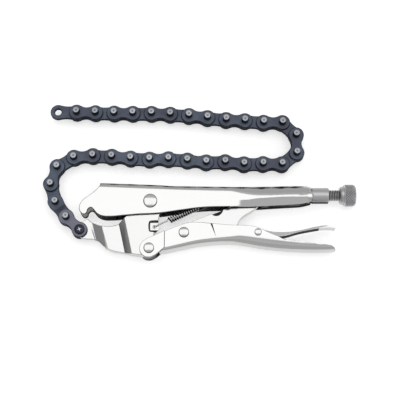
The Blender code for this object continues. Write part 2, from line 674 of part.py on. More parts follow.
def spring_route():
    """The spring's wire: a hook in the lug, a leg, the coils, and the same again at the tab."""
    axis = SPRING_TAB_HOLE - LUG_HOLE
    length = axis.length
    along = axis.normalized()
    across = Vector((-along.y, along.x, 0))
    leg = [(0, -LUG_HALF - HOOK_DROP), (0, LUG_HALF), (HOOK_BEND / 2, COIL_RADIUS - HOOK_BEND / 4)]
    leg.append((HOOK_BEND * 2, COIL_RADIUS))
    leg.append((LEG_LENGTH, COIL_RADIUS))
    lead = [(share * COIL_INSET, angle) for share, angle in COIL_LEAD_SHARES]
    coil_length = length - 2 * COIL_INSET
    swept = COIL_TURNS * 360 - 2 * (LEG_ANGLE - COIL_FIRST_ANGLE)
    steps = round(COIL_POINTS * swept / 360)
    coil = []
    for step in range(steps + 1):
        coil.append((COIL_INSET + coil_length * step / steps, COIL_FIRST_ANGLE - swept * step / steps))
    turns = [*lead, *coil]
    turns += [(length - place, 2 * LEG_ANGLE - angle) for place, angle in reversed(lead)]
    points = [LUG_HOLE + along * place + Vector((0, 0, height)) for place, height in leg]
    for place, degrees in turns:
        angle = math.radians(degrees)
        offset = across * COIL_RADIUS * math.cos(angle) + Vector((0, 0, COIL_RADIUS * math.sin(angle)))
        points.append(LUG_HOLE + along * place + offset)
    points += [
        LUG_HOLE + along * (length - place) + Vector((0, 0, height)) for place, height in reversed(leg)
    ]
    return points


def least_gap(points, radius):
    """The least clear distance between stretches of a wire that aren't next to each other."""
    apart = 6 * radius
    travelled = [0]
    for point, following in zip(points, points[1:]):
        travelled.append(travelled[-1] + (following - point).length)
    least = math.inf
    for index, point in enumerate(points):
        for other in range(index + 1, len(points)):
            if travelled[other] - travelled[index] > apart:
                least = min(least, (points[other] - point).length - 2 * radius)
    return least


def return_spring(frame):
    """Tension spring of round wire that pulls the jaw open."""
    points = spring_route()
    curve = bpy.data.curves.new("return_spring", "CURVE")
    curve.dimensions = "3D"
    curve.bevel_depth = WIRE_RADIUS
    curve.bevel_resolution = 1
    curve.use_fill_caps = True
    spline = curve.splines.new("POLY")
    spline.points.add(len(points) - 1)
    for control, point in zip(spline.points, points):
        control.co = (*point, 1)
    mesh = meshed(add_object("return_spring", curve))
    tidy_mesh(mesh)
    spring = add_object("return_spring", mesh)
    print(f"return_spring: least gap between coils {least_gap(points, WIRE_RADIUS) * 1000:.3f} mm")
    finish(spring, SPRING_STEEL, frame, (0, 0, 0))
    return spring


def plate_outline(waist):
    """A link plate's outline: round ends about its two pins, drawn in to a waist."""
    half_pitch = PITCH / 2
    waist_radius = (half_pitch**2 + waist**2 - PLATE_RADIUS**2) / (2 * (PLATE_RADIUS - waist))
    waist_centre = waist + waist_radius
    meeting = math.atan2(waist_centre, half_pitch)
    points = []
    for centre, start in ((0, meeting), (PITCH, math.pi + meeting)):
        for step in range(END_STEPS + 1):
            angle = start + (math.tau - 2 * meeting) * step / END_STEPS
            points.append((centre + PLATE_RADIUS * math.cos(angle), PLATE_RADIUS * math.sin(angle)))
        middle = waist if centre else -waist
        points.append((half_pitch, middle))
    return points


def link_pin(name):
    """A pin right through the chain that stands proud at both ends."""
    return cylinder(name, PIN_RADIUS, -REST_HEIGHT, REST_HEIGHT, PIN_SIDES)


def shared_mesh(master):
    """One mesh of a finished link, for all links of its kind."""
    guides = list(master.children)
    mesh = meshed(master)
    for guide in guides:
        bpy.data.objects.remove(guide)
    return mesh


def plate_pair(name, pins, holes):
    """Two plates a gap apart, with pins pressed into them or plain holes at their ends."""
    middle = (OUTER_LINK_LOW + OUTER_LINK_HIGH) / 2
    upper = extruded(name, plate_outline(OUTER_WAIST), PLATE / 2, bezier=False)
    upper.data.transform(Matrix.Translation((0, 0, middle)))
    lower = extruded(f"{name}_lower_plate", plate_outline(OUTER_WAIST), PLATE / 2, bezier=False)
    lower.location = (0, 0, -middle)
    combine(upper, lower, "UNION")
    for place in holes:
        drill(upper, (place, 0, 0), ANCHOR_RIVET_RADIUS + CLEARANCE, OUTER_LINK_HIGH, PIN_SIDES)
    for place in pins:
        pin = link_pin(f"{name}_pin")
        pin.location = (place, 0, 0)
        combine(upper, pin, "UNION")
    return shared_mesh(upper)


def inner_link():
    """The pair of plates between the outer ones, which lie face to face."""
    link = extruded("inner_link", plate_outline(INNER_WAIST), INNER_LINK_HALF, bezier=False)
    for place in (0, PITCH):
        drill(link, (place, 0, 0), PIN_RADIUS + CLEARANCE, INNER_LINK_HALF, PIN_SIDES)
    return shared_mesh(link)


def offset_link():
    """A cranked link: inner plates at the anchor's side that spread into outer plates."""
    link = extruded("offset_link", plate_outline(INNER_WAIST), OUTER_LINK_HIGH + OVERRUN, bezier=False)
    crank_start = PLATE_RADIUS + CLEARANCE
    crank_end = PITCH - FORK_FLAT
    slot_start = PITCH - PLATE_RADIUS - CLEARANCE
    far = PITCH + 2 * PLATE_RADIUS
    upper_side = (
        (-2 * PLATE_RADIUS, INNER_LINK_HALF), (crank_start, INNER_LINK_HALF),
        (crank_end, OUTER_LINK_HIGH), (far, OUTER_LINK_HIGH), (far, OUTER_LINK_LOW),
        (slot_start, OUTER_LINK_LOW),
    )
    lower_side = tuple((x, -z) for x, z in reversed(upper_side))
    side_view = extruded("offset_link_side", upper_side + lower_side, 2 * PLATE_RADIUS, bezier=False)
    side_view.rotation_euler = (math.radians(90), 0, 0)
    combine(link, side_view, "INTERSECT")
    drill(link, (0, 0, 0), PIN_RADIUS + CLEARANCE, INNER_LINK_HALF, PIN_SIDES)
    pin = link_pin("offset_link_pin")
    pin.location = (PITCH, 0, 0)
    combine(link, pin, "UNION")
    return shared_mesh(link)


def chain(jaw):
    """Every link hangs on the one before it, and the first on the jaw's tongue."""
    anchor_mesh = plate_pair("anchor_link", (PITCH,), (0,))
    offset_mesh = offset_link()
    outer_mesh = plate_pair("outer_link", (0, PITCH), ())
    inner_mesh = inner_link()
    anchor_mesh.materials.append(CHAIN_GREY)
    for mesh in (offset_mesh, outer_mesh, inner_mesh):
        mesh.materials.append(CHAIN_OXIDE)
    carrier = jaw
    place = ANCHOR
    previous = 0
    for number, heading in enumerate(LINK_HEADINGS, 1):
        kind, mesh = ("inner", inner_mesh) if number % 2 else ("outer", outer_mesh)
        if number == 1:
            kind, mesh = "anchor", anchor_mesh
        elif number == 2:
            kind, mesh = "offset", offset_mesh
        link = add_object(f"chain_link_{number:02d}_{kind}", mesh)
        link.parent = carrier
        link.location = place
        link.rotation_euler = (0, 0, math.radians(heading - previous))
        carrier = link
        place = (PITCH, 0, 0)
        previous = heading


RELEASE_PIVOT = LEVER_PIVOT + Vector((*(share * LEVER_LENGTH for share in RELEASE_PIVOT_SHARES), 0))

tool_frame = bpy.data.objects.new("tool_frame", None)
PARTS.objects.link(tool_frame)
tool_frame.location = (0, 0, REST_HEIGHT)

upper_handle(tool_frame)
jaw_piece = lower_jaw(tool_frame)
lever_handle(tool_frame)
toggle_link(tool_frame)
release_lever(tool_frame)
return_spring(tool_frame)
adjusting_screw(tool_frame)
knurled_knob(tool_frame)
HEAD_UNDER = HALF_WIDTH + CLEARANCE
rivet("jaw_pivot_rivet", JAW_RIVET_RADIUS, JAW_RIVET_HEAD, HEAD_UNDER, REST_HEIGHT, tool_frame, (0, 0, 0))
rivet(
    "lever_rivet", LEVER_RIVET_RADIUS, LEVER_RIVET_HEAD, HEAD_UNDER + EAR_JOGGLE, REST_HEIGHT,
    tool_frame, LEVER_PIVOT,
)
rivet(
    "toggle_rivet", LEVER_RIVET_RADIUS, LEVER_RIVET_HEAD, HEAD_UNDER, REST_HEIGHT,
    tool_frame, TOGGLE_PIVOT,
)
rivet(
    "release_rivet", RELEASE_RIVET_RADIUS, RELEASE_RIVET_HEAD, HEAD_UNDER, REST_HEIGHT,
    tool_frame, RELEASE_PIVOT,
)
rivet(
    "chain_anchor_rivet", ANCHOR_RIVET_RADIUS, ANCHOR_RIVET_HEAD, OUTER_LINK_HIGH + CLEARANCE,
    OUTER_LINK_HIGH + CLEARANCE + ANCHOR_RIVET_RISE, tool_frame, ANCHOR,
)
chain(jaw_piece)
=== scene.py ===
# %% [markdown]
# A locking chain clamp lies on its side. Its imported solids are the fixed frame: each has its place,
# its size and the body that it moves with. This lesson dresses that frame.

import json
import math

import bpy
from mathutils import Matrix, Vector


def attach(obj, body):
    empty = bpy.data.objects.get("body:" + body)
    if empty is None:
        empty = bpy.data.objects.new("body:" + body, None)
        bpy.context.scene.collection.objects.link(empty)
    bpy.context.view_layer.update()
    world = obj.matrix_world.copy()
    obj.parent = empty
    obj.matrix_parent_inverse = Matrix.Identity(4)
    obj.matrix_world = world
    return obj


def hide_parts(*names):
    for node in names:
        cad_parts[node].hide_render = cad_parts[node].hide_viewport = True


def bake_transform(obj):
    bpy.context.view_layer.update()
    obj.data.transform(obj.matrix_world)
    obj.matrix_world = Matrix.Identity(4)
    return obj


REST_HEIGHT = 0.0097


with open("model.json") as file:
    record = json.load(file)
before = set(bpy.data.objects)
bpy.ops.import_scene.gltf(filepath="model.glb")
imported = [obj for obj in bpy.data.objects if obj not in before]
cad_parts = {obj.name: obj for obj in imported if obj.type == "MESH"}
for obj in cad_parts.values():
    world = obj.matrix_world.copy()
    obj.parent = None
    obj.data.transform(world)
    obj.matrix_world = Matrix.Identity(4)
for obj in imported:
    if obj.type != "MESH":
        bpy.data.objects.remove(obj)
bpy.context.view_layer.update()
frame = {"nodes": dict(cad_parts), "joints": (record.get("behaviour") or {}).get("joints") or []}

# %% [markdown]
# The photograph looks down on the bench, tipped a little towards the near side, so that the tops of
# the pieces show with a thin strip of their near walls. A long lens far away keeps the pins upright.

# %% Place the camera
CAMERA_PLACE = (0.04099, -0.22568, 0.84467)
CAMERA_TIP = math.radians(15.3)
CAMERA_LENS = 93.72
SENSOR_WIDTH = 36
NEAREST_SEEN = 0.01

bpy.ops.object.select_all(action="DESELECT")
bpy.ops.object.camera_add(location=CAMERA_PLACE, rotation=(CAMERA_TIP, 0, 0))
camera = bpy.context.object
camera.data.sensor_width = SENSOR_WIDTH
camera.data.lens = CAMERA_LENS
camera.data.clip_start = NEAREST_SEEN
bpy.context.scene.camera = camera
bpy.context.scene.view_settings.view_transform = "Standard"
print("camera tipped by", round(math.degrees(CAMERA_TIP), 1), "degrees")

# %% [markdown]
# Blender's operators act on whatever is selected, so each helper first picks out its own piece. A
# piece could keep its place in its object, but here it is written into the mesh, so that every
# object sits at the origin, as the solids do.

# %% Helpers: select, place, finish and weld
def only(piece):
    """Makes one piece the selected and active object."""
    if bpy.context.mode != "OBJECT":
        bpy.ops.object.mode_set(mode="OBJECT")
    bpy.ops.object.select_all(action="DESELECT")
    piece.select_set(True)
    bpy.context.view_layer.objects.active = piece


def edit_all(piece):
    """Opens a piece for editing with everything selected."""
    only(piece)
    bpy.ops.object.mode_set(mode="EDIT")
    bpy.ops.mesh.select_all(action="SELECT")


def close_edit():
    """Leaves edit mode."""
    bpy.ops.object.mode_set(mode="OBJECT")


def settle(piece, place=(0, 0, 0), turn=(0, 0, 0)):
    """Moves and turns a piece, then writes its place into its mesh."""
    only(piece)
    piece.location = place
    piece.rotation_euler = turn
    bpy.ops.object.transform_apply(location=True, rotation=True, scale=True)


def finished(piece, *materials):
    """Gives a piece its materials, in the order of its faces' numbers."""
    for material in materials:
        piece.data.materials.append(material)
    return piece


def weld(piece, reach=0.000002, flat=0.1):
    """Closes seams, points every face outwards and makes flat areas one face."""
    edit_all(piece)
    bpy.ops.mesh.remove_doubles(threshold=reach)
    bpy.ops.mesh.normals_make_consistent(inside=False)
    if flat:
        bpy.ops.mesh.dissolve_limited(angle_limit=math.radians(flat), delimit={"MATERIAL"})
    close_edit()


def triangles(piece):
    """How many triangles a piece has."""
    return sum(len(face.vertices) - 2 for face in piece.data.polygons)


# %% [markdown]
# Cutting, trimming and joining are done with a Boolean modifier, and the burrs go with a Bevel. The
# bevel could slide along its neighbours or be clamped to the shortest edge. Sliding throws spikes where
# cuts leave short edges, and clamping makes the rounding vanish, so both are off.

# %% Helpers: cut, round and shade
def combine(piece, tool, operation):
    """Cuts, trims or joins a piece with a tool, whose own material stays on the faces it makes."""
    only(piece)
    step = piece.modifiers.new("combine", "BOOLEAN")
    step.operation = operation
    step.solver = "EXACT"
    step.material_mode = "TRANSFER"
    step.object = tool
    bpy.ops.object.modifier_apply(modifier=step.name)
    bpy.data.objects.remove(tool)


def soften(piece, width, rounds=2, angle=32, smooth=40, finish=-1):
    """Rounds every edge sharper than an angle and shades the rest smoothly."""
    only(piece)
    step = piece.modifiers.new("soften", "BEVEL")
    step.width = width
    step.segments = rounds
    step.limit_method = "ANGLE"
    step.angle_limit = math.radians(angle)
    step.use_clamp_overlap = False
    step.loop_slide = False
    step.material = finish
    bpy.ops.object.modifier_apply(modifier=step.name)
    shade(piece, smooth)


def plate_rims(piece):
    """Gives a softened piece's outer rims the finish of the plate, down to their steep lower half."""
    for face in piece.data.polygons:
        outwards = face.normal.z if face.center.z > 0 else -face.normal.z
        if outwards > 0.6:
            face.material_index = 0


def shade(piece, smooth=40):
    """Shades smoothly up to an angle, with large faces kept flat to the eye."""
    only(piece)
    bpy.ops.object.shade_smooth_by_angle(angle=math.radians(smooth))
    step = piece.modifiers.new("even", "WEIGHTED_NORMAL")
    step.keep_sharp = True
    bpy.ops.object.modifier_apply(modifier=step.name)


# %% [markdown]
# Most pieces of the clamp start as one of three shapes: an outline cut from plate, a turned profile,
# or a pressed channel whose section changes along its length. The outline is drawn as a Bezier curve,
# because its handles give the smooth corners of a stamping from few points. The turned profile is a
# circle that is extruded and resized ring by ring.

# %% Helpers: plate outlines and turned profiles
SHARP = "VECTOR"
ROUND = "AUTO"
CENTRE = Vector((0, 0, 0))
THROUGH = 0.01
ALONG_X = (0, math.radians(90), 0)
LAID_DOWN = (math.radians(90), 0, 0)


def plate(name, corners, half, steps=10):
    """An outline in XY as a plate, half its thickness to each side of the XY plane."""
    only(camera)
    bpy.ops.curve.primitive_bezier_circle_add()
    drawn = bpy.context.object
    drawn.name = name
    curve = drawn.data
    curve.dimensions = "2D"
    curve.fill_mode = "BOTH"
    curve.extrude = half
    curve.resolution_u = steps
    points = curve.splines[0].bezier_points
    points.add(len(corners) - len(points))
    for point, (_, x, y) in zip(points, corners):
        point.co = (x, y, 0)
    for point, (kind, _, _) in zip(points, corners):
        point.handle_left_type = kind
        point.handle_right_type = kind
    only(drawn)
    bpy.ops.object.convert(target="MESH")
    piece = bpy.context.object
    weld(piece)
    return piece


def stretched(shares, left, right=None, rise=None):
    """Outline corners from shares of a piece's reach to either side and of its rise, or of one size."""
    right = right or left
    rise = rise or left
    return [(kind, x * (left if x < 0 else right), y * rise) for kind, x, y in shares]


def rectangle(left, low, right, high):
    """The corners of a rectangle for a plate."""
    return [(SHARP, left, low), (SHARP, right, low), (SHARP, right, high), (SHARP, left, high)]


def turned(name, profile, around=48):
    """A turned piece about its own Z from (radius, height) pairs, lowest first."""
    only(camera)
    radius, height = profile[0]
    bpy.ops.mesh.primitive_circle_add(
        vertices=around, radius=radius, location=(0, 0, height), fill_type="NGON",
    )
    piece = bpy.context.object
    piece.name = name
    settle(piece, piece.location)
    edit_all(piece)
    for (radius, height), (wider, higher) in zip(profile, profile[1:]):
        bpy.ops.mesh.extrude_region_move(TRANSFORM_OT_translate={"value": (0, 0, higher - height)})
        share = wider / radius
        bpy.ops.transform.resize(value=(share, share, 1), center_override=(0, 0, higher))
    bpy.ops.mesh.select_all(action="SELECT")
    bpy.ops.mesh.normals_make_consistent(inside=False)
    close_edit()
    return piece


def drilled(piece, place, radius, half=THROUGH, around=40):
    """Drills a hole along Z, right through a piece unless half the drill's length says less."""
    drill = turned("drill", ((radius, -half), (radius, half)), around)
    settle(drill, place)
    combine(piece, finished(drill, *piece.data.materials), "DIFFERENCE")


# %% [markdown]
# A knurl and a screw thread need a surface whose radius changes with both angle and place. A fine
# grid is rolled into a tube for them: each of its points is set by a rule, and the seam is merged.

# %% Helper: a rolled surface
def rolled(name, around, along, rule):
    """A grid rolled about X: the rule gives (x, radius) from the share round and the share along."""
    only(camera)
    bpy.ops.mesh.primitive_grid_add(x_subdivisions=around, y_subdivisions=along, size=1)
    piece = bpy.context.object
    piece.name = name
    for vertex in piece.data.vertices:
        round_share = vertex.co.x + 0.5
        x, radius = rule(round_share, vertex.co.y + 0.5)
        angle = math.tau * round_share
        vertex.co = (x, radius * math.cos(angle), radius * math.sin(angle))
    weld(piece, 0.000001, flat=0)
    return piece


# %% [markdown]
# Shader maths reads best as plain expressions. A small class wraps one socket of a material, and
# adding or multiplying it makes the Math node that does so, also with a plain number on the left.
# Every other node comes from one method that takes its type, its settings and its sockets' values.

# %% The shader helper
def opaque(colour):
    """A colour, or a grey given as one number, with full alpha."""
    return (*colour, 1) if isinstance(colour, tuple) else (colour, colour, colour, 1)


class Shade:
    """One output of a node in a material, which can be used in sums."""

    def __init__(self, tree, socket=None):
        self.tree = tree
        self.socket = socket

    def node(self, kind, settings=None, sockets=None, output=0):
        made = self.tree.nodes.new(kind)
        for name, setting in (settings or {}).items():
            if name == "stops":
                ramp = made.color_ramp
                while len(ramp.elements) < len(setting):
                    ramp.elements.new(0.5)
                for element, (place, colour) in zip(ramp.elements, setting):
                    element.position = place
                    element.color = opaque(colour)
            else:
                setattr(made, name, setting)
        for name, value in (sockets or {}).items():
            if isinstance(value, Shade):
                self.tree.links.new(value.socket, made.inputs[name])
            else:
                made.inputs[name].default_value = value
        return Shade(self.tree, made.outputs[output])

    def sum(self, operation, first, second):
        return self.node("ShaderNodeMath", {"operation": operation}, {0: first, 1: second})

    def __add__(self, other):
        return self.sum("ADD", self, other)

    def __mul__(self, other):
        return self.sum("MULTIPLY", self, other)

    __radd__ = __add__
    __rmul__ = __mul__


def blank(name):
    """A new material, its empty start for expressions, and its Principled shader."""
    material = bpy.data.materials.new(name)
    material.use_nodes = True
    tree = material.node_tree
    return material, Shade(tree), tree.nodes["Principled BSDF"]


def feed(start, shader, name, value):
    """Links a value to one of the shader's sockets."""
    start.tree.links.new(value.socket, shader.inputs[name])


def blended(start, share, first, second):
    """One colour turning into another by a share."""
    ends = [opaque(colour) if isinstance(colour, tuple) else colour for colour in (first, second)]
    return start.node("ShaderNodeMix", {"data_type": "RGBA"}, {0: share, 6: ends[0], 7: ends[1]}, output=2)


def stretched_noise(start, scale, detail=4, stretch=(1, 1, 1)):
    """Noise on the piece's own coordinates, drawn out along an axis."""
    place = start.node("ShaderNodeTexCoord", output=3)
    moved = start.node("ShaderNodeMapping", None, {"Vector": place, "Scale": stretch})
    sockets = {"Vector": moved, "Scale": scale, "Detail": detail, "Roughness": 0.6}
    return start.node("ShaderNodeTexNoise", None, sockets)


def spread(value, low, high):
    """Stretches the part of a value between two limits to run from nought to one."""
    return value.node("ShaderNodeValToRGB", {"stops": ((low, 0.0), (high, 1.0))}, {0: value})


def bumped(start, shader, height, distance):
    """Turns a height into small relief."""
    sockets = {"Height": height, "Distance": distance, "Strength": 1.0}
    feed(start, shader, "Normal", start.node("ShaderNodeBump", None, sockets))


# %% [markdown]
# Nickel plate over pressed steel is bright and nearly white. Under the plate lie the polishing lines
# of the press shop, which run along the tool, and faint clouds where the plate is thicker. The
# forged jaw keeps a little of its scale's texture, so its plate is rougher.

# %% Bright finishes
ALONG_TOOL = (0.06, 1, 1)
ROUND_BARREL = (1, 0.06, 0.06)
UPRIGHT = (1, 1, 0.1)
EVEN = (1, 1, 1)


def plated(name, colour, cloud, rough, grain, relief, stretch=ALONG_TOOL, gloss=None):
    """A plated finish: clouds in colour and gloss, lines as relief. One with a `gloss` is no metal."""
    material, start, shader = blank(name)
    clouds = stretched_noise(start, 55, 5)
    lines = stretched_noise(start, grain, 3, stretch)
    darker = tuple(v * (1 - cloud) for v in colour)
    feed(start, shader, "Base Color", blended(start, clouds, darker, colour))
    feed(start, shader, "Roughness", rough[0] + (clouds * 0.5 + lines * 0.5) * (rough[1] - rough[0]))
    bumped(start, shader, lines, relief)
    if gloss is None:
        shader.inputs["Metallic"].default_value = 1
    else:
        shader.inputs["Specular IOR Level"].default_value = gloss
    return material


NICKEL = plated("bright_nickel", (0.56, 0.56, 0.555), 0.05, (0.11, 0.24), 2600, 0.000006)
FORGED = plated("plated_forging", (0.555, 0.555, 0.55), 0.07, (0.14, 0.3), 900, 0.000015, EVEN)
SATIN = plated("satin_barrel", (0.5, 0.5, 0.505), 0.08, (0.36, 0.48), 1600, 0.00001, ROUND_BARREL)
RIVET = plated("bright_rivet", (0.54, 0.54, 0.535), 0.08, (0.08, 0.2), 1800, 0.000006, EVEN)
# A near-black finish that paints shade at rivet rims, thread roots and knurl grooves.
PAINTED_SHADE_DARK = plated("rivet_rim", (0.12, 0.12, 0.125), 0.3, (0.4, 0.6), 1800, 0.00001, EVEN, 0.1)
# Near black: partly the sheared steel's own dullness, partly painted shade on edges, grooves and
# undersides.
SHEARED_EDGE_AND_SHADE = plated("sheared_edge", (0.045, 0.045, 0.046), 0.4, (0.5, 0.7), 1500, 0.00003, UPRIGHT, 0.1)
KNOB_STEEL = plated("knurled_steel", (0.6, 0.6, 0.62), 0.12, (0.16, 0.32), 1500, 0.00001, EVEN)
THREAD_STEEL = plated("oiled_thread", (0.64, 0.67, 0.65), 0.3, (0.2, 0.38), 1200, 0.00001, EVEN)
SPRING_STEEL = plated("spring_wire", (0.62, 0.62, 0.62), 0.15, (0.12, 0.25), 2000, 0.000006, EVEN)
# Near black on the coils' inner sides and flanks: painted shade.
PAINTED_COIL_SHADE = plated("dark_grease", (0.012, 0.012, 0.013), 0.4, (0.4, 0.6), 1500, 0.00001, EVEN, 0.1)
BRUSHED = plated("brushed_edge", (0.52, 0.52, 0.52), 0.2, (0.3, 0.5), 1500, 0.00003, UPRIGHT)
bright = [made.name for made in bpy.data.materials if made.name.startswith(("bright", "plated", "satin"))]
print("bright finishes:", bright)

# %% [markdown]
# The chain is blackened: a thin blue-black oxide with a satin gloss. It wears where links rub, so the
# finish is mottled. The plates' edges and the pins' sides are near black as painted shade. The pins
# were ground off after riveting, and their ends are bare steel. The first link is of plain grey steel.

# %% Chain finishes
def mean(first, second):
    """The colour half way between two."""
    return tuple((a + b) / 2 for a, b in zip(first, second))


def oxide(name, dark, light, metal, rough, worn=(0.62, 0.5, 0.56)):
    """A satin oxide, mottled finely and drifting slowly along the chain, with fine pits."""
    material, start, shader = blank(name)
    patches = stretched_noise(start, 170, 6)
    grain = stretched_noise(start, 1400, 3)
    mottled = blended(start, spread(patches * 0.7 + grain * 0.3, 0.32, 0.68), dark, light)
    drift = spread(stretched_noise(start, 24, 1), 0.4, 0.6)
    other = tuple(v * s for v, s in zip(mean(dark, light), worn))
    feed(start, shader, "Base Color", blended(start, 0.35 + drift * 0.65, other, mottled))
    feed(start, shader, "Roughness", rough[0] + grain * (rough[1] - rough[0]))
    bumped(start, shader, grain, 0.00002)
    shader.inputs["Metallic"].default_value = metal
    return material


OXIDE = oxide("blue_black_oxide", (0.04, 0.054, 0.086), (0.098, 0.124, 0.17), 0.35, (0.3, 0.5))
# Near black on the links' edges, the pins' sides and the anchor rivet's rim: painted shade.
OXIDE_PAINTED_EDGE_SHADE = oxide("oxide_edge", (0.008, 0.01, 0.015), (0.02, 0.024, 0.034), 0.0, (0.4, 0.6))
OXIDE_PAINTED_EDGE_SHADE.node_tree.nodes["Principled BSDF"].inputs["Specular IOR Level"].default_value = 0.1
PIN_END = oxide(
    "ground_pin_end", (0.27, 0.28, 0.3), (0.44, 0.45, 0.47), 0.9, (0.24, 0.42), (0.75, 0.76, 0.79),
)
PIN_DIMPLE = oxide("pin_dimple", (0.15, 0.16, 0.18), (0.26, 0.27, 0.29), 0.8, (0.3, 0.5), (0.8, 0.8, 0.82))
GREY_LINK = oxide(
    "grey_link_steel", (0.12, 0.12, 0.16), (0.18, 0.18, 0.23), 0.5, (0.3, 0.45), (0.9, 0.9, 0.92),
)
BLACK_RIVET = oxide(
    "blackened_rivet", (0.01, 0.011, 0.02), (0.035, 0.04, 0.06), 0.7, (0.16, 0.3), (0.9, 0.9, 0.9),
)
# A painted highlight for the star on the anchor rivet's head.
STAR_HIGHLIGHT = oxide("struck_star", (0.4, 0.41, 0.44), (0.6, 0.61, 0.64), 0.9, (0.2, 0.35), (0.9, 0.9, 0.9))
dark = [made.name for made in bpy.data.materials if "oxide" in made.name or "blackened" in made.name]
print("dark finishes:", dark)


# %% [markdown]
# Each finished piece is given its finishes, tied to the body that it moves with, and set in place of
# the plain solid that it stands for.

# %% Helper: mount a piece on the frame
def mount(piece, body, slot, node, *materials):
    """Gives a piece its finishes and its body, and hides the solid it stands for; its slot is not used."""
    finished(piece, *materials)
    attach(piece, body)
    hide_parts(node)
    print(piece.name, "on", body, triangles(piece), "triangles")


# %% [markdown]
# The handles are pressed from 2.4 mm sheet. The section of each is a channel whose corners grow from
# a bend at the jaws to a full round at the grip, where a flat facet along each cheek leans in towards
# the lips. The section is drawn as a ring of points, and a circle with as many points is extruded
# station after station, and set to the rings.

# %% Helper: one section of a pressed channel
HALF_WIDTH = 0.0079
SHEET = 0.0024
INNER_HALF = HALF_WIDTH - SHEET
TRIM_HALF = HALF_WIDTH * 1.3
CORNER_STEPS = 12
FACET_STOPS = (0.0, 0.06, 0.12, 0.18, 0.26, 0.55, 1.0)
STATION_STEP = 0.0015


def lean(facet, draw, crown):
    """The slope of a facet that draws a cheek in by so much over its height, past a rounded fold."""
    spare = 2 * crown - draw
    return 2 * math.atan((facet - math.sqrt(facet**2 - draw * spare)) / spare)


def section(x, half, web, edge, corner_share, tall, tip, facet, draw, crown):
    """One section: corners at the web, taller by `tall` and peaked by `tip`, then faceted cheeks."""
    side = 1 if web > edge else -1
    inner_corner = corner_share * (half - SHEET)
    corner_height = (inner_corner + SHEET) * tall
    corner = Vector((side * web - corner_height, half - SHEET - inner_corner))
    slope = lean(facet, draw, crown)
    outer = []
    inner = []
    low = math.radians(tip)
    for step in range(CORNER_STEPS + 1):
        angle = math.radians(90) - (math.radians(90) - low) * step / CORNER_STEPS
        up = (math.sin(angle) - math.sin(low)) / (1 - math.sin(low))
        out = math.cos(angle) / math.cos(low)
        outer.append(corner + Vector((corner_height * up, (inner_corner + SHEET) * out)))
        inner.append(corner + Vector(((corner_height - SHEET) * up, inner_corner * out)))
    for stop in FACET_STOPS:
        run = facet * stop
        turn = min(slope, math.asin(min(run / crown, 1)))
        drawn = crown * (1 - math.cos(turn)) + (run - crown * math.sin(turn)) * math.tan(turn)
        point = Vector((side * edge + facet - run, half - drawn))
        outer.append(point)
        inner.append(point - SHEET * Vector((-math.sin(turn), math.cos(turn))))
    right = outer + inner[::-1]
    left = [(y, -z) for y, z in inner + outer[::-1]]
    return [(x, side * y, z) for y, z in [*right, *left]]


# %% [markdown]
# A few stations say how the section changes along the tool, as a loftsman's table does. Between them
# the sizes follow a smooth curve, which leaves no crease at a station.

# %% Helper: a pressed channel from its stations
def between(stations, x):
    """A row of sizes at x, on a smooth curve through the rows of a table."""
    last = len(stations) - 2
    index = next((i for i in range(last + 1) if x < stations[i + 1][0]), last)
    here, there = stations[index], stations[index + 1]
    before = stations[max(index - 1, 0)]
    after = stations[min(index + 2, len(stations) - 1)]
    step = there[0] - here[0]
    share = (x - here[0]) / step
    row = [x]
    for a, b, c, d in zip(before[1:], here[1:], there[1:], after[1:]):
        start = (c - a) / (there[0] - before[0]) * step
        end = (d - b) / (after[0] - here[0]) * step
        cube = (2 * b - 2 * c + start + end) * share**3
        row.append(cube + (3 * c - 3 * b - 2 * start - end) * share**2 + start * share + b)
    return row


def stops_along(first, last):
    """Places along a channel, evenly spaced."""
    count = round((last - first) / STATION_STEP)
    return [first + (last - first) * index / count for index in range(count + 1)]


def channel(name, rings):
    """A closed channel through its rings. The lips' ends get the second material."""
    count = len(rings[0])
    only(camera)
    bpy.ops.mesh.primitive_circle_add(vertices=count, radius=HALF_WIDTH, fill_type="NGON")
    piece = bpy.context.object
    piece.name = name
    edit_all(piece)
    for _ in rings[1:]:
        bpy.ops.mesh.extrude_region_move()
    close_edit()
    for number, ring in enumerate(rings):
        for place, point in enumerate(ring):
            piece.data.vertices[number * count + place].co = point
    run = CORNER_STEPS + 1 + len(FACET_STOPS)
    lips = ({run - 1, run}, {3 * run - 1, 3 * run})
    for face in piece.data.polygons:
        if {vertex % count for vertex in face.vertices} in lips:
            face.material_index = 1
    edit_all(piece)
    bpy.ops.mesh.normals_make_consistent(inside=False)
    close_edit()
    return piece
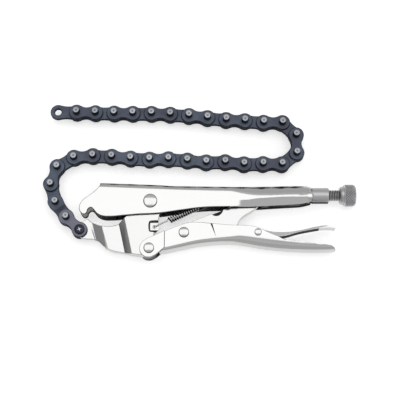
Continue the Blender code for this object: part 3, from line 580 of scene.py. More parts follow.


# %% [markdown]
# The upper handle is the largest pressing. Its side outline, with the hooked nose that catches the
# chain's pins, trims the channel, as the blanking die trimmed the sheet. The cut edge is sheared
# steel, duller and darker than the plate, and its near-black colour also paints shade along the
# edges. A row of the table holds a station's place, top, lips and width as shares, its corner's
# share, height and tip, and its facet's height, draw and crown.

# %% The upper handle's channel
NOSE_REACH = 0.0586
CHANNEL_REACH = 0.1333
HANDLE_RISE = 0.0165
UPPER_STATIONS = (
    (-1.053, 1.049, -0.905, 1.0, 0.46, 1.0, 0, 0.006, 0.0, 0.03),
    (-0.34, 0.947, -0.905, 1.0, 0.46, 1.0, 0, 0.006, 0.0, 0.03),
    (0.06, 0.886, -0.844, 1.0, 0.46, 1.0, 0, 0.006, 0.0, 0.03),
    (0.127, 0.844, -0.784, 1.0, 0.46, 1.0, 0, 0.006, 0.0, 0.03),
    (0.493, 0.802, -0.32, 1.0, 0.5, 1.05, 0, 0.006, 0.0, 0.03),
    (0.527, 0.804, -0.3, 1.0, 0.54, 1.2, 0, 0.006, 0.0, 0.02),
    (0.559, 0.81, -0.302, 1.0, 0.6, 1.3, 2, 0.0064, 0.0013, 0.005),
    (0.6, 0.818, -0.304, 1.0, 0.7, 1.4, 5, 0.0068, 0.0019, 0.005),
    (0.657, 0.84, -0.285, 1.0, 0.873, 1.38, 9, 0.0076, 0.0019, 0.005),
    (0.746, 0.86, -0.245, 1.0, 0.945, 1.34, 13, 0.0078, 0.0025, 0.005),
    (0.84, 0.882, -0.2, 1.0, 0.945, 1.31, 15, 0.0078, 0.0026, 0.005),
    (0.933, 0.9, -0.15, 1.0, 0.945, 1.33, 16, 0.007, 0.0024, 0.005),
    (0.978, 0.86, -0.07, 0.975, 0.755, 1.4, 12, 0.0058, 0.0021, 0.005),
    (1.0, 0.79, -0.02, 0.873, 0.711, 1.4, 8, 0.005, 0.0017, 0.005),
)
UPPER_OUTLINE = (
    (SHARP, -0.703, 1.206), (SHARP, -0.717, 0.796), (ROUND, -0.771, 0.561), (ROUND, -0.864, 0.289),
    (ROUND, -0.958, 0.018), (ROUND, -1.0, -0.35), (ROUND, -0.973, -0.591), (ROUND, -0.927, -0.681),
    (ROUND, -0.891, -0.597), (ROUND, -0.878, -0.446), (ROUND, -0.834, -0.338),
    (ROUND, -0.796, -0.434), (ROUND, -0.75, -0.627), (ROUND, -0.674, -0.766),
    (ROUND, -0.56, -0.796), (ROUND, -0.353, -0.736), (SHARP, -0.155, -0.675),
    (ROUND, 0.051, -0.627), (ROUND, 0.184, -0.476), (ROUND, 0.322, -0.332), (SHARP, 0.493, -0.295),
    (SHARP, 0.523, -0.543), (SHARP, 1.12, -0.543), (SHARP, 1.12, 1.206),
)

stations = []
for x, top, low, width, *shape in UPPER_STATIONS:
    place = x * (NOSE_REACH if x < 0 else CHANNEL_REACH)
    stations.append((place, width * HALF_WIDTH, top * HANDLE_RISE, low * HANDLE_RISE, *shape))
rings = [section(*between(stations, x)) for x in stops_along(stations[0][0], stations[-1][0])]
handle = finished(channel("upper_handle_pressing", rings), NICKEL, SHEARED_EDGE_AND_SHADE)
trim = plate("trim", stretched(UPPER_OUTLINE, NOSE_REACH, CHANNEL_REACH, HANDLE_RISE), TRIM_HALF)
combine(handle, finished(trim, SHEARED_EDGE_AND_SHADE), "INTERSECT")
weld(handle, 0.00001, flat=0.3)
soften(handle, 0.0006, 4, finish=1)
plate_rims(handle)
print("trimmed channel:", triangles(handle), "triangles")

# %% [markdown]
# Behind the grip the channel closes round the barrel, which is the nut of the adjusting screw, and a
# stake on either side holds it. A tab is pressed down from the web inside, and the spring hooks into
# it. The barrel and the stakes are turned profiles, joined to the pressing.

# %% The barrel, the stakes and the tab
SCREW_RISE = 0.0065
BARREL_START = 0.1254
BARREL_STEP = 0.1339
BARREL_END = 0.1478
BARREL_RADIUS = 0.0067
NECK_RADIUS = 0.0061
STAKE_PLACE = (0.1319, 0.0048, 0)
BARREL_DROP = 0.0002
BARREL_PROFILE = (
    (0.0052, BARREL_START), (NECK_RADIUS, BARREL_START + 0.0004), (NECK_RADIUS, BARREL_STEP - 0.0012),
    (NECK_RADIUS + 0.0002, BARREL_STEP - 0.0005), (BARREL_RADIUS - 0.0001, BARREL_STEP + 0.0002),
    (BARREL_RADIUS, BARREL_STEP + 0.0006), (BARREL_RADIUS, BARREL_END - 0.0005),
    (BARREL_RADIUS - 0.0002, BARREL_END - 0.00015), (BARREL_RADIUS - 0.0005, BARREL_END),
)
STAKE_PROFILE = (
    (0.0031, -0.004), (0.0031, -0.0006), (0.0029, -0.0002), (0.0023, 0.0001), (0.0014, 0.00025),
    (0.0003, 0.0003),
)
STAKE_SUNK = 0.0003
TAB_OUTLINE = (
    (SHARP, 0.049, 0.0125), (SHARP, 0.049, 0.0022), (ROUND, 0.0512, 0.0002), (SHARP, 0.0534, 0.0022),
    (SHARP, 0.0534, 0.0125),
)
TAB_HALF = 0.0015

barrel = turned("barrel", BARREL_PROFILE, 72)
settle(barrel, (0, SCREW_RISE - BARREL_DROP, 0), ALONG_X)
combine(handle, finished(barrel, SATIN), "UNION")
for side in (0, 180):
    stake = turned("stake", STAKE_PROFILE, 32)
    settle(stake, (0, 0, HALF_WIDTH - STAKE_SUNK))
    settle(stake, turn=(math.radians(side), 0, 0))
    settle(stake, STAKE_PLACE)
    combine(handle, finished(stake, NICKEL), "UNION")
combine(handle, finished(plate("tab", TAB_OUTLINE, TAB_HALF), NICKEL), "UNION")
print("with barrel, stakes and tab:", triangles(handle), "triangles")

# %% [markdown]
# The sheet's two edges leave a seam along the barrel's underside, and its near-black walls paint the
# shade there. It is cut, as the screw's bore is, and the holes for the pivot rivet and the spring's
# hook are drilled. The seam's and the bore's cutters carry the dark finish of sheared steel and
# painted shade, which the boolean hands to the walls that they leave.

# %% The seam, the bore and the holes
THREAD_RADIUS = 0.00475
THREAD_ROOM = 0.0003
JAW_RIVET_HOLE = 0.0041
TAB_HOLE = Vector((0.0512, 0.0022, 0))
TAB_BORE = 0.0011
TAB_DRILL = 0.002
SEAM_START = 0.1318
SEAM_DEPTH = 0.0012
SEAM_HALF = 0.0025
OVERRUN = 0.002

low = SCREW_RISE - BARREL_DROP - BARREL_RADIUS
beyond = BARREL_END + 0.0022
seam = plate("seam", rectangle(SEAM_START, low - OVERRUN, beyond, low + SEAM_DEPTH), SEAM_HALF)
combine(handle, finished(seam, SHEARED_EDGE_AND_SHADE), "DIFFERENCE")
bore_radius = THREAD_RADIUS + THREAD_ROOM
bore = turned("bore", ((bore_radius, 0.12), (bore_radius, beyond)), 72)
settle(bore, (0, SCREW_RISE, 0), ALONG_X)
combine(handle, finished(bore, SHEARED_EDGE_AND_SHADE), "DIFFERENCE")
drilled(handle, CENTRE, JAW_RIVET_HOLE)
drilled(handle, TAB_HOLE, TAB_BORE, TAB_DRILL)
weld(handle, 0.00001, flat=0.02)
soften(handle, 0.00012, 1, angle=50)
settle(handle, (0, 0, REST_HEIGHT))
mount(handle, "handle", "nickel_plate", "upper_handle")

# %% [markdown]
# The lower jaw is a forging. It is thick at the pivots and steps down twice to the tongue that
# carries the chain. Each step is a milled ramp whose top rolls over into the next flat. A loft would
# blur the ramps' crisp feet, so the thickness is drawn as a side view and laid across the outline.

# %% The lower jaw's forging
JAW_REACH = 0.0583
JAW_DROP = 0.0397
JAW_HALF = INNER_HALF - 0.0003
JAW_SLANT = math.radians(12.5)
JAW_OUTLINE = (
    (ROUND, -1.0, -0.441), (ROUND, -1.099, -0.586), (ROUND, -1.0, -0.732), (ROUND, -0.901, -0.782),
    (ROUND, -0.811, -0.789), (ROUND, -0.727, -0.837), (ROUND, -0.64, -0.952),
    (ROUND, -0.529, -1.037), (ROUND, -0.41, -1.073), (ROUND, -0.247, -1.11),
    (ROUND, -0.119, -1.132), (ROUND, -0.012, -1.13), (ROUND, 0.1, -0.98),
    (ROUND, 0.089, -0.827), (ROUND, 0.055, -0.682), (ROUND, 0.096, -0.617),
    (ROUND, 0.126, -0.531), (ROUND, 0.113, -0.436), (ROUND, 0.123, -0.338),
    (ROUND, 0.147, -0.15), (ROUND, 0.154, 0.0), (ROUND, 0.0, 0.226), (ROUND, -0.147, 0.063),
    (ROUND, -0.23, -0.125), (SHARP, -0.348, -0.318), (SHARP, -0.449, -0.474),
    (ROUND, -0.503, -0.501), (ROUND, -0.616, -0.516), (ROUND, -0.708, -0.499),
    (ROUND, -0.794, -0.449), (ROUND, -0.838, -0.414), (SHARP, -0.889, -0.346),
)
JAW_STEPS = (
    (-0.12, 0.0019), (-0.0512, 0.0019), (-0.0502, 0.00202), (-0.0493, 0.0023), (-0.0434, 0.0041),
    (-0.0428, 0.0042), (-0.0293, 0.003), (-0.0288, 0.0034), (-0.0238, 0.0051), (-0.023, JAW_HALF),
    (0.06, JAW_HALF),
)
BLANK_HALF = 0.008
SIDE_REACH = 0.09


def thinned(piece, steps, slant=0):
    """Trims a plate to a side view, given as half thicknesses at places along it."""
    corners = [(SHARP, x, z) for x, z in steps] + [(SHARP, x, -z) for x, z in reversed(steps)]
    side_view = plate("side_view", corners, SIDE_REACH, steps=1)
    settle(side_view, turn=LAID_DOWN)
    settle(side_view, turn=(0, 0, slant))
    combine(piece, finished(side_view, *piece.data.materials), "INTERSECT")


jaw = plate("lower_jaw_forging", stretched(JAW_OUTLINE, JAW_REACH, JAW_REACH, JAW_DROP), BLANK_HALF)
thinned(finished(jaw, FORGED), JAW_STEPS, JAW_SLANT)
weld(jaw, 0.00001, flat=0.5)
soften(jaw, 0.0006, 3, angle=50)
print("forging:", triangles(jaw), "triangles")

# %% [markdown]
# A square pocket on either side leaves the thin lug that the spring hooks into, and a groove runs
# round its floor, coloured near black as painted shade. Where the cuts cross, a bevel can throw a
# corner off the surface, so at the end each corner is held to the forging's thickness at its place.

# %% The jaw's pockets and holes
ANCHOR = Vector((-0.058, -0.0234, 0))
ANCHOR_HOLE = 0.0029
LEVER_PIVOT = Vector((-0.0007, -0.0397, 0))
SMALL_RIVET_HOLE = 0.0031
LUG_HOLE = Vector((0.0033, -0.0208, 0))
LUG_BORE = 0.0015
LUG_HALF = 0.0015
POCKET_OUTLINE = (
    (ROUND, -0.0008, -0.0247), (ROUND, -0.0008, -0.0172), (ROUND, 0.0, -0.0164), (SHARP, 0.03, -0.0164),
    (SHARP, 0.03, -0.0255), (ROUND, 0.0, -0.0255),
)
POCKET_HALF = 0.004
GROOVES = (
    (-0.0009, -0.0256, -0.0002, -0.0163),
    (-0.0009, -0.0171, 0.03, -0.0163),
    (-0.0009, -0.0256, 0.03, -0.0237),
)
GROOVE_HALF = 0.0006
GROOVE_LIFT = 0.0001

for side in (1, -1):
    pocket = plate("pocket", POCKET_OUTLINE, POCKET_HALF)
    settle(pocket, (0, 0, side * (LUG_HALF + POCKET_HALF)))
    combine(jaw, finished(pocket, FORGED), "DIFFERENCE")
# The grooves' near-black walls are painted shade at the foot of the pocket's wall.
for side in (1, -1):
    for place in GROOVES:
        groove = plate("groove", rectangle(*place), GROOVE_HALF)
        settle(groove, (0, 0, side * (LUG_HALF + GROOVE_LIFT)))
        combine(jaw, finished(groove, SHEARED_EDGE_AND_SHADE), "DIFFERENCE")
drilled(jaw, CENTRE, JAW_RIVET_HOLE)
drilled(jaw, LEVER_PIVOT, SMALL_RIVET_HOLE)
drilled(jaw, ANCHOR, ANCHOR_HOLE)
drilled(jaw, LUG_HOLE, LUG_BORE)
weld(jaw, 0.00001, flat=0.5)
soften(jaw, 0.00015, 1, angle=50)
for corner in jaw.data.vertices:
    along = corner.co.x * math.cos(JAW_SLANT) + corner.co.y * math.sin(JAW_SLANT)
    for (near, low), (far, high) in zip(JAW_STEPS, JAW_STEPS[1:]):
        if near <= along <= far:
            half = low + (high - low) * (along - near) / (far - near)
            corner.co.z = max(-half, min(half, corner.co.z))
settle(jaw, (0, 0, REST_HEIGHT))
mount(jaw, "jaw", "nickel_plate", "lower_jaw")

# %% [markdown]
# The lever handle is the second pressing, open at the top and rounded at the bottom where the hand
# closes on it. The same channel makes it. A row of its table holds a station's place and web as
# shares of its length, then its corner's share and height.

# %% The lever handle's channel
LEVER_LENGTH = 0.1525
LEVER_LIP = 0.0244
LEVER_STATIONS = (
    (0.054, -0.0176, 0.182, 1.0), (0.083, -0.0163, 0.182, 1.0), (0.148, -0.0033, 0.25, 1.0),
    (0.253, 0.0189, 0.3, 1.0), (0.344, 0.0294, 0.36, 1.0), (0.435, 0.032, 0.5, 1.05),
    (0.487, 0.0241, 0.85, 1.1), (0.598, 0.0046, 0.945, 1.2), (0.709, -0.0085, 0.945, 1.15),
    (0.853, -0.0157, 0.85, 1.0), (0.957, -0.0137, 0.6, 1.0), (1.009, -0.0085, 0.4, 1.0),
)
LEVER_OUTLINE = (
    (SHARP, 0.054, -0.066), (SHARP, 0.054, 0.078), (ROUND, 0.121, 0.109), (ROUND, 0.166, 0.126),
    (ROUND, 0.202, 0.138), (ROUND, 0.241, 0.142), (ROUND, 0.322, 0.137), (ROUND, 0.435, 0.127),
    (ROUND, 0.559, 0.12), (ROUND, 0.599, 0.108), (ROUND, 0.631, 0.091), (ROUND, 0.688, 0.066),
    (ROUND, 0.724, 0.049), (ROUND, 0.774, 0.042), (ROUND, 0.845, 0.031), (ROUND, 0.909, 0.022),
    (ROUND, 0.952, 0.02), (ROUND, 0.98, 0.012), (ROUND, 0.998, -0.007), (SHARP, 0.983, -0.066),
)
LEVER_FACET = (0.004, 0.0, 0.03)

stations = [(x * LEVER_LENGTH, web * LEVER_LENGTH, *corner) for x, web, *corner in LEVER_STATIONS]
rings = []
for x in stops_along(stations[0][0], stations[-1][0]):
    _, web, corner, tall = between(stations, x)
    rings.append(section(x, HALF_WIDTH, web, LEVER_LIP, corner, tall, 0, *LEVER_FACET))
lever = finished(channel("lever_handle_pressing", rings), NICKEL, SHEARED_EDGE_AND_SHADE)
trim = plate("trim", stretched(LEVER_OUTLINE, LEVER_LENGTH), TRIM_HALF, steps=8)
combine(lever, finished(trim, SHEARED_EDGE_AND_SHADE), "INTERSECT")
print("lever's channel:", triangles(lever), "triangles")

# %% [markdown]
# Two flat ears at the lever's front straddle the jaw. They could be drawn out of the channel's rings,
# but their outline has nothing to do with the section, so they are plates joined to it. The faint
# joggle where they meet keeps the plate's finish.

# %% The lever's ears and holes
EAR_END = 0.083
EAR_OUTLINE = (
    (ROUND, -0.05, 0.0), (ROUND, -0.037, 0.032), (ROUND, -0.011, 0.052), (ROUND, 0.023, 0.067),
    (SHARP, EAR_END, 0.096), (SHARP, EAR_END, 0.003), (ROUND, 0.063, -0.014),
    (ROUND, 0.032, -0.038), (ROUND, 0.0, -0.05), (ROUND, -0.035, -0.037),
)
EAR_JOGGLE = 0.00005
JOGGLE_REACH = 0.0009
TOGGLE_PIVOT = Vector((0.0278, -0.0267, 0))
RELEASE_PIVOT = LEVER_PIVOT + Vector((0.5846, 0.0868, 0)) * LEVER_LENGTH
RELEASE_HOLE = 0.0023

for side in (1, -1):
    ear = finished(plate("ear", stretched(EAR_OUTLINE, LEVER_LENGTH), SHEET / 2), NICKEL, BRUSHED)
    for face in ear.data.polygons:
        face.material_index = 0 if abs(face.normal.z) > 0.5 else 1
    settle(ear, (0, 0, side * (INNER_HALF + SHEET / 2 + EAR_JOGGLE)))
    combine(lever, ear, "UNION")
settle(lever, LEVER_PIVOT)
drilled(lever, LEVER_PIVOT, SMALL_RIVET_HOLE)
drilled(lever, TOGGLE_PIVOT, SMALL_RIVET_HOLE)
drilled(lever, RELEASE_PIVOT, RELEASE_HOLE)
weld(lever, 0.00001, flat=0.02)
soften(lever, 0.0004, 4, finish=1)
plate_rims(lever)
joggle = LEVER_PIVOT.x + EAR_END * LEVER_LENGTH
for face in lever.data.polygons:
    if abs(face.center.x - joggle) < JOGGLE_REACH:
        face.material_index = 0
settle(lever, (0, 0, REST_HEIGHT))
mount(lever, "lever", "nickel_plate", "lever_handle")

# %% [markdown]
# The toggle link is a stout bar that locks the tool when it passes over centre. It fills the channel
# at its rivet and thins towards the tip that bears on the screw. A notch is sunk in either side, and
# its near-black walls are painted shade.

# %% The toggle link
TOGGLE_LENGTH = 0.0794
TOGGLE_OUTLINE = (
    (ROUND, -0.069, 0.031), (ROUND, -0.031, -0.069), (ROUND, 0.182, -0.119), (ROUND, 0.366, -0.168),
    (ROUND, 0.48, -0.189), (ROUND, 0.539, -0.143), (ROUND, 0.597, -0.1), (ROUND, 0.753, -0.07),
    (ROUND, 0.891, -0.04), (ROUND, 1.001, -0.034), (ROUND, 1.03, -0.013), (ROUND, 1.006, 0.032),
    (SHARP, 0.475, 0.065), (SHARP, 0.345, 0.073), (SHARP, 0.121, 0.083), (ROUND, 0.026, 0.071),
)
NOTCH_OUTLINE = (
    (SHARP, 0.475, 0.09), (SHARP, 0.475, 0.063), (ROUND, 0.455, 0.044), (ROUND, 0.41, 0.028),
    (ROUND, 0.366, 0.044), (SHARP, 0.345, 0.071), (SHARP, 0.345, 0.09),
)
NOTCH_HALF = 0.0007
TOGGLE_STEPS = (
    (-0.09, JAW_HALF), (0.0064, JAW_HALF), (0.0087, 0.0036), (0.0635, 0.0036), (0.0675, 0.0024),
    (0.09, 0.0024),
)
TIP_RISE = 0.006

toggle = plate("toggle_link_bar", stretched(TOGGLE_OUTLINE, TOGGLE_LENGTH), BLANK_HALF)
thinned(finished(toggle, FORGED), TOGGLE_STEPS)
# The notches' walls take the near-black finish: painted shade.
for side in (1, -1):
    notch = plate("notch", stretched(NOTCH_OUTLINE, TOGGLE_LENGTH), POCKET_HALF)
    settle(notch, (0, 0, side * (NOTCH_HALF + POCKET_HALF)))
    combine(toggle, finished(notch, SHEARED_EDGE_AND_SHADE), "DIFFERENCE")
drilled(toggle, CENTRE, SMALL_RIVET_HOLE)
weld(toggle, 0.00001, flat=0.5)
soften(toggle, 0.0003, 3, angle=28)
settle(toggle, turn=(0, 0, math.asin((TIP_RISE - TOGGLE_PIVOT.y) / TOGGLE_LENGTH)))
settle(toggle, TOGGLE_PIVOT + Vector((0, 0, REST_HEIGHT)))
mount(toggle, "toggle", "nickel_plate", "toggle_link")

# %% [markdown]
# The release lever is a paddle inside the lever handle. A finger presses its tail to unlock the tool.
# Its sides lean back from its lower edge as far as the flat tail, and the front of its underside is
# painted near black as shade.
# A slanted lid is cut away on either side, because a taper would thin the tail as well.

# %% The release lever
RELEASE_LENGTH = 0.064
RELEASE_HALF = 0.0048
PADDLE_LEAN = math.radians(10)
PADDLE_RISE = math.radians(13)
RELEASE_OUTLINE = (
    (ROUND, -0.146, 0.04), (ROUND, -0.084, 0.072), (ROUND, 0.028, 0.06), (ROUND, 0.183, 0.022),
    (ROUND, 0.372, 0.015), (ROUND, 0.501, 0.029), (ROUND, 0.63, 0.056), (ROUND, 0.759, 0.086),
    (ROUND, 0.861, 0.1), (ROUND, 0.956, 0.098), (ROUND, 1.003, 0.065), (ROUND, 0.953, 0.067),
    (ROUND, 0.863, 0.068), (ROUND, 0.628, 0.032), (ROUND, 0.508, 0.006), (ROUND, 0.387, -0.029),
    (ROUND, 0.3, -0.046), (ROUND, 0.173, -0.047), (ROUND, 0.017, -0.072), (ROUND, -0.092, -0.045),
)
PAINTED_SHADE_REACH = 0.05
LID = (-0.012, -0.002, 0.0385, 0.02)
LID_HALF = 0.002
LID_CORNER_SHARES = RELEASE_OUTLINE[16][1:]
TAIL_HOLE = (0.0617, 0.0064, 0)
TAIL_BORE = 0.0006

release = plate("release_lever_paddle", stretched(RELEASE_OUTLINE, RELEASE_LENGTH), RELEASE_HALF)
finished(release, NICKEL, SHEARED_EDGE_AND_SHADE)
# The front of the underside wall is painted near black as shade.
for face in release.data.polygons:
    face.material_index = 1 if face.normal.y < -0.5 and face.center.x < PAINTED_SHADE_REACH else 0
lid_x, lid_y = (share * RELEASE_LENGTH for share in LID_CORNER_SHARES)
for side in (1, -1):
    lid = plate("lid", rectangle(*LID), LID_HALF)
    settle(lid, (0, 0, side * LID_HALF))
    settle(lid, turn=(side * -PADDLE_LEAN, 0, 0))
    settle(lid, turn=(0, 0, PADDLE_RISE))
    settle(lid, (lid_x, lid_y, side * RELEASE_HALF))
    combine(release, finished(lid, NICKEL), "DIFFERENCE")
drilled(release, CENTRE, RELEASE_HOLE)
drilled(release, TAIL_HOLE, TAIL_BORE, around=20)
weld(release, 0.00001, flat=0.3)
soften(release, 0.00015, 2, angle=50)
settle(release, RELEASE_PIVOT + Vector((0, 0, REST_HEIGHT)))
mount(release, "release", "nickel_plate", "release_lever")

# %% [markdown]
# The rivets have low domed heads with a chamfered rim, which is near black as painted shade on all
# but the release rivet. A shallow dome mirrors the lamp over most of its face and the dimmer room
# along its far side. A squashed sphere would have no rim, so the profile is an arc, extruded ring by
# ring. Each of the four has a row: its shank, its head, the height under the head, its place and its
# rim.

# %% The rivets
DOME_SLOPE = math.radians(14)
DOME_STEPS = 12
RIM_CHAMFER = 0.00035
LAND_SHARE = 0.45


def domed(shank, head, under, top, flat=0.00005):
    """Half a rivet's profile, from its middle up: shank, rim, chamfer and a shallow cap."""
    reach = head - RIM_CHAMFER
    ball = reach / math.sin(DOME_SLOPE)
    last = math.asin(flat / ball)
    rim = top - ball * (math.cos(last) - math.cos(DOME_SLOPE))
    profile = [(shank, under), (head, under), (head, rim - 0.7 * RIM_CHAMFER)]
    for step in range(DOME_STEPS + 1):
        angle = DOME_SLOPE + (last - DOME_SLOPE) * step / DOME_STEPS
        profile.append((ball * math.sin(angle), rim + ball * (math.cos(angle) - math.cos(DOME_SLOPE))))
    return profile


def rivet(node, body, sizes, place, material, rim):
    """A rivet with domes at either end, the lower flattened where it rests, and a rim in a second finish.
    """
    shank, head, under, top = sizes
    upper = domed(shank, head, under, top)
    lower = [(radius, -height) for radius, height in domed(shank, head, under, top, flat=LAND_SHARE * head)]
    piece = turned(f"{node}_domed", [*reversed(lower), *upper], 64)
    shade(piece, 35)
    # The rim's faces take the second finish, which on most rivets paints shade there.
    for face in piece.data.polygons:
        beyond = math.hypot(face.center.x, face.center.y) > head - RIM_CHAMFER
        face.material_index = 1 if beyond else 0
    settle(piece, place + Vector((0, 0, REST_HEIGHT)))
    mount(piece, body, "rivet_steel", node, material, rim)
    return piece


HEAD_UNDER = HALF_WIDTH + 0.0003
for node, body, shank, head, under, place, rim in (
    ("jaw_pivot_rivet", "handle", 0.0038, 0.0057, HEAD_UNDER, CENTRE, PAINTED_SHADE_DARK),
    ("lever_rivet", "lever", 0.0028, 0.00425, HEAD_UNDER + EAR_JOGGLE, LEVER_PIVOT, PAINTED_SHADE_DARK),
    ("toggle_rivet", "lever", 0.0028, 0.00425, HEAD_UNDER, TOGGLE_PIVOT, PAINTED_SHADE_DARK),
    ("release_rivet", "lever", 0.002, 0.0029, HEAD_UNDER, RELEASE_PIVOT, BRUSHED),
):
    rivet(node, body, (shank, head, under, REST_HEIGHT), place, RIVET, rim)

# %% [markdown]
# The adjusting screw has a real thread here: the radius of a rolled grid rises and falls with the
# place along the screw less one pitch for every turn. A plain inner end bears on the toggle link, and
# a spigot carries the knob.

# %% The adjusting screw
SCREW_TIP = 0.1061
THREAD_START = 0.1349
KNOB_START = 0.1566
SHANK_RADIUS = 0.003
SPIGOT_LENGTH = 0.0065
THREAD_DEPTH = 0.0006
THREAD_PITCH = 0.0014
THREAD_ROWS = 10


def thread(round_share, along_share):
    """The thread's radius at a place round and along it: flanks with narrow crests and roots."""
    x = THREAD_START + (KNOB_START - 0.0003 - THREAD_START) * along_share
    wave = abs((x / THREAD_PITCH - round_share) % 1 * 2 - 1)
    height = min(max(wave * 1.3 - 0.15, 0), 1)
    ends = min(along_share * 12, 1)
    return x, THREAD_RADIUS - THREAD_DEPTH * (1 - height * ends)


rows = round((KNOB_START - THREAD_START) / THREAD_PITCH * THREAD_ROWS)
screw = rolled("adjusting_screw_thread", 64, rows, thread)
root = THREAD_RADIUS - THREAD_DEPTH
shank = turned("shank", (
    (0.0023, SCREW_TIP), (SHANK_RADIUS, SCREW_TIP + 0.0007), (SHANK_RADIUS, THREAD_START - 0.0012),
    (root, THREAD_START + 0.0002), (root, KNOB_START - 0.0004), (SHANK_RADIUS, KNOB_START - 0.0004),
    (SHANK_RADIUS, KNOB_START + SPIGOT_LENGTH),
), 48)
settle(shank, turn=ALONG_X)
only(screw)
shank.select_set(True)
bpy.ops.object.join()
shade(screw, 50)
# The thread's roots take the dark second finish: painted shade in the grooves.
for face in screw.data.polygons:
    x, y, z = face.center
    root_side = x > THREAD_START and math.hypot(y, z) < THREAD_RADIUS - 0.4 * THREAD_DEPTH
    face.material_index = 1 if root_side else 0
settle(screw, (0, SCREW_RISE, REST_HEIGHT))
mount(screw, "screw", "dark_steel", "adjusting_screw", THREAD_STEEL, PAINTED_SHADE_DARK)

# %% [markdown]
# The knob is gripped with the fingers, so its barrel is knurled: two sets of ridges cross and leave
# small diamonds. The same rolled grid makes them, with the ridges faded out at both ends, and the
# grooves are coloured dark as painted shade. In front sits a plain rounded collar with a brushed finish.

# %% The knurled knob
KNOB_RADIUS = 0.0093
COLLAR_LENGTH = 0.0038
KNURLED = (0.0045, 0.0131)
GROOVE_SHADE_SHARE = 0.74
KNURL_DEPTH = 0.0006
KNURL_COUNT = 26
KNOB_PROFILE = (
    (0.0, 0.0033), (0.0, 0.0056), (0.0003, 0.0065), (0.001, 0.0071), (0.002, 0.0075), (0.003, 0.0077),
    (0.0037, 0.00775), (0.0038, 0.0086), (0.0041, 0.0091), (0.0047, KNOB_RADIUS), (0.0104, KNOB_RADIUS),
    (0.0117, 0.0091), (0.0127, 0.0086), (0.0134, 0.0077), (0.0138, 0.0064), (0.0139, 0.0045),
    (0.0139, 0.00005),
)


def knob_profile(step):
    """Place and radius at a step along the knob's profile."""
    lengths = [0]
    for (x, r), (nx, nr) in zip(KNOB_PROFILE, KNOB_PROFILE[1:]):
        lengths.append(lengths[-1] + math.hypot(nx - x, nr - r))
    goal = step * lengths[-1]
    index = next((i for i in range(len(lengths) - 2) if goal < lengths[i + 1]), len(lengths) - 2)
    share = (goal - lengths[index]) / (lengths[index + 1] - lengths[index])
    (x, r), (nx, nr) = KNOB_PROFILE[index], KNOB_PROFILE[index + 1]
    return x + (nx - x) * share, r + (nr - r) * share


def groove_share(round_share, x):
    """How deep the crossed grooves are at a place: nought on a diamond's crest, one in a groove."""
    turn = KNURL_COUNT * round_share
    slide = KNURL_COUNT * x / (math.tau * KNOB_RADIUS)
    return max(abs((turn + slide) % 1 - 0.5), abs((turn - slide) % 1 - 0.5)) * 2


def knurl(round_share, along_share):
    """The knob's radius: its profile less the grooves between the diamonds."""
    x, radius = knob_profile(along_share)
    groove = groove_share(round_share, x)
    fade = min(max((x - 0.0043) / 0.0004, 0), 1) * min(max((0.0134 - x) / 0.0008, 0), 1)
    return KNOB_START + x, radius - KNURL_DEPTH * groove**2 * fade


knob = rolled("knurled_knob_turned", KNURL_COUNT * 10, 150, knurl)
shade(knob, 60)
for face in knob.data.polygons:
    place = face.center.x - KNOB_START
    deep = groove_share(math.atan2(face.center.z, face.center.y) / math.tau, place) > GROOVE_SHADE_SHARE
    # The deepest groove faces take the dark finish, which paints shade in them.
    face.material_index = 1 if deep and KNURLED[0] < place < KNURLED[1] else 0
    if place < COLLAR_LENGTH:
        face.material_index = 2
settle(knob, (0, SCREW_RISE, REST_HEIGHT))
mount(knob, "knob", "knob_steel", "knurled_knob", KNOB_STEEL, PAINTED_SHADE_DARK, BRUSHED)

# %% [markdown]
# The return spring pulls the jaw open. Its wire hooks through the lug, runs along a straight leg,
# turns into the coils and ends in the same way at the tab. The wire is a curve with a round bevel,
# made a mesh once its route is drawn. The coils' inner sides and flanks are painted near black as
# shade.

# %% The return spring
WIRE_RADIUS = 0.0006
COIL_RADIUS = 0.0023
HOOK_DROP = 0.0012
HOOK_BEND = 0.0007
LEG_LENGTH = 0.012
COIL_INSET = 0.0141
COIL_TURNS = 13
COIL_POINTS = 28

axis = TAB_HOLE - LUG_HOLE
along = axis.normalized()
across = Vector((-along.y, along.x, 0))
leg = [(0, -LUG_HALF - HOOK_DROP), (0, LUG_HALF), (HOOK_BEND / 2, COIL_RADIUS - HOOK_BEND / 4)]
leg += [(HOOK_BEND * 2, COIL_RADIUS), (LEG_LENGTH, COIL_RADIUS)]
swept = COIL_TURNS * 360 - 140
steps = round(COIL_POINTS * swept / 360)
coil_length = axis.length - 2 * COIL_INSET
turns = [(0.915 * COIL_INSET, 75), (0.965 * COIL_INSET, 50)]
turns += [(COIL_INSET + coil_length * step / steps, 20 - swept * step / steps) for step in range(steps + 1)]
turns += [(axis.length - 0.965 * COIL_INSET, 130), (axis.length - 0.915 * COIL_INSET, 105)]
route = [LUG_HOLE + along * place + Vector((0, 0, height)) for place, height in leg]
for place, degrees in turns:
    angle = math.radians(degrees)
    lift = Vector((0, 0, COIL_RADIUS * math.sin(angle)))
    route.append(LUG_HOLE + along * place + across * COIL_RADIUS * math.cos(angle) + lift)
far_leg = [(axis.length - place, height) for place, height in reversed(leg)]
route += [LUG_HOLE + along * place + Vector((0, 0, height)) for place, height in far_leg]

only(camera)
bpy.ops.curve.primitive_nurbs_path_add()
spring = bpy.context.object
spring.name = "return_spring_wire"
wire = spring.data
wire.splines.clear()
line = wire.splines.new("POLY")
line.points.add(len(route) - 1)
for point, place in zip(line.points, route):
    point.co = (*place, 1)
wire.bevel_depth = WIRE_RADIUS
wire.bevel_resolution = 7
wire.use_fill_caps = True
only(spring)
bpy.ops.object.convert(target="MESH")
spring = bpy.context.object
weld(spring, 0.000001, flat=0)
shade(spring, 60)
settle(spring, (0, 0, REST_HEIGHT))
finished(spring, SPRING_STEEL, PAINTED_COIL_SHADE)
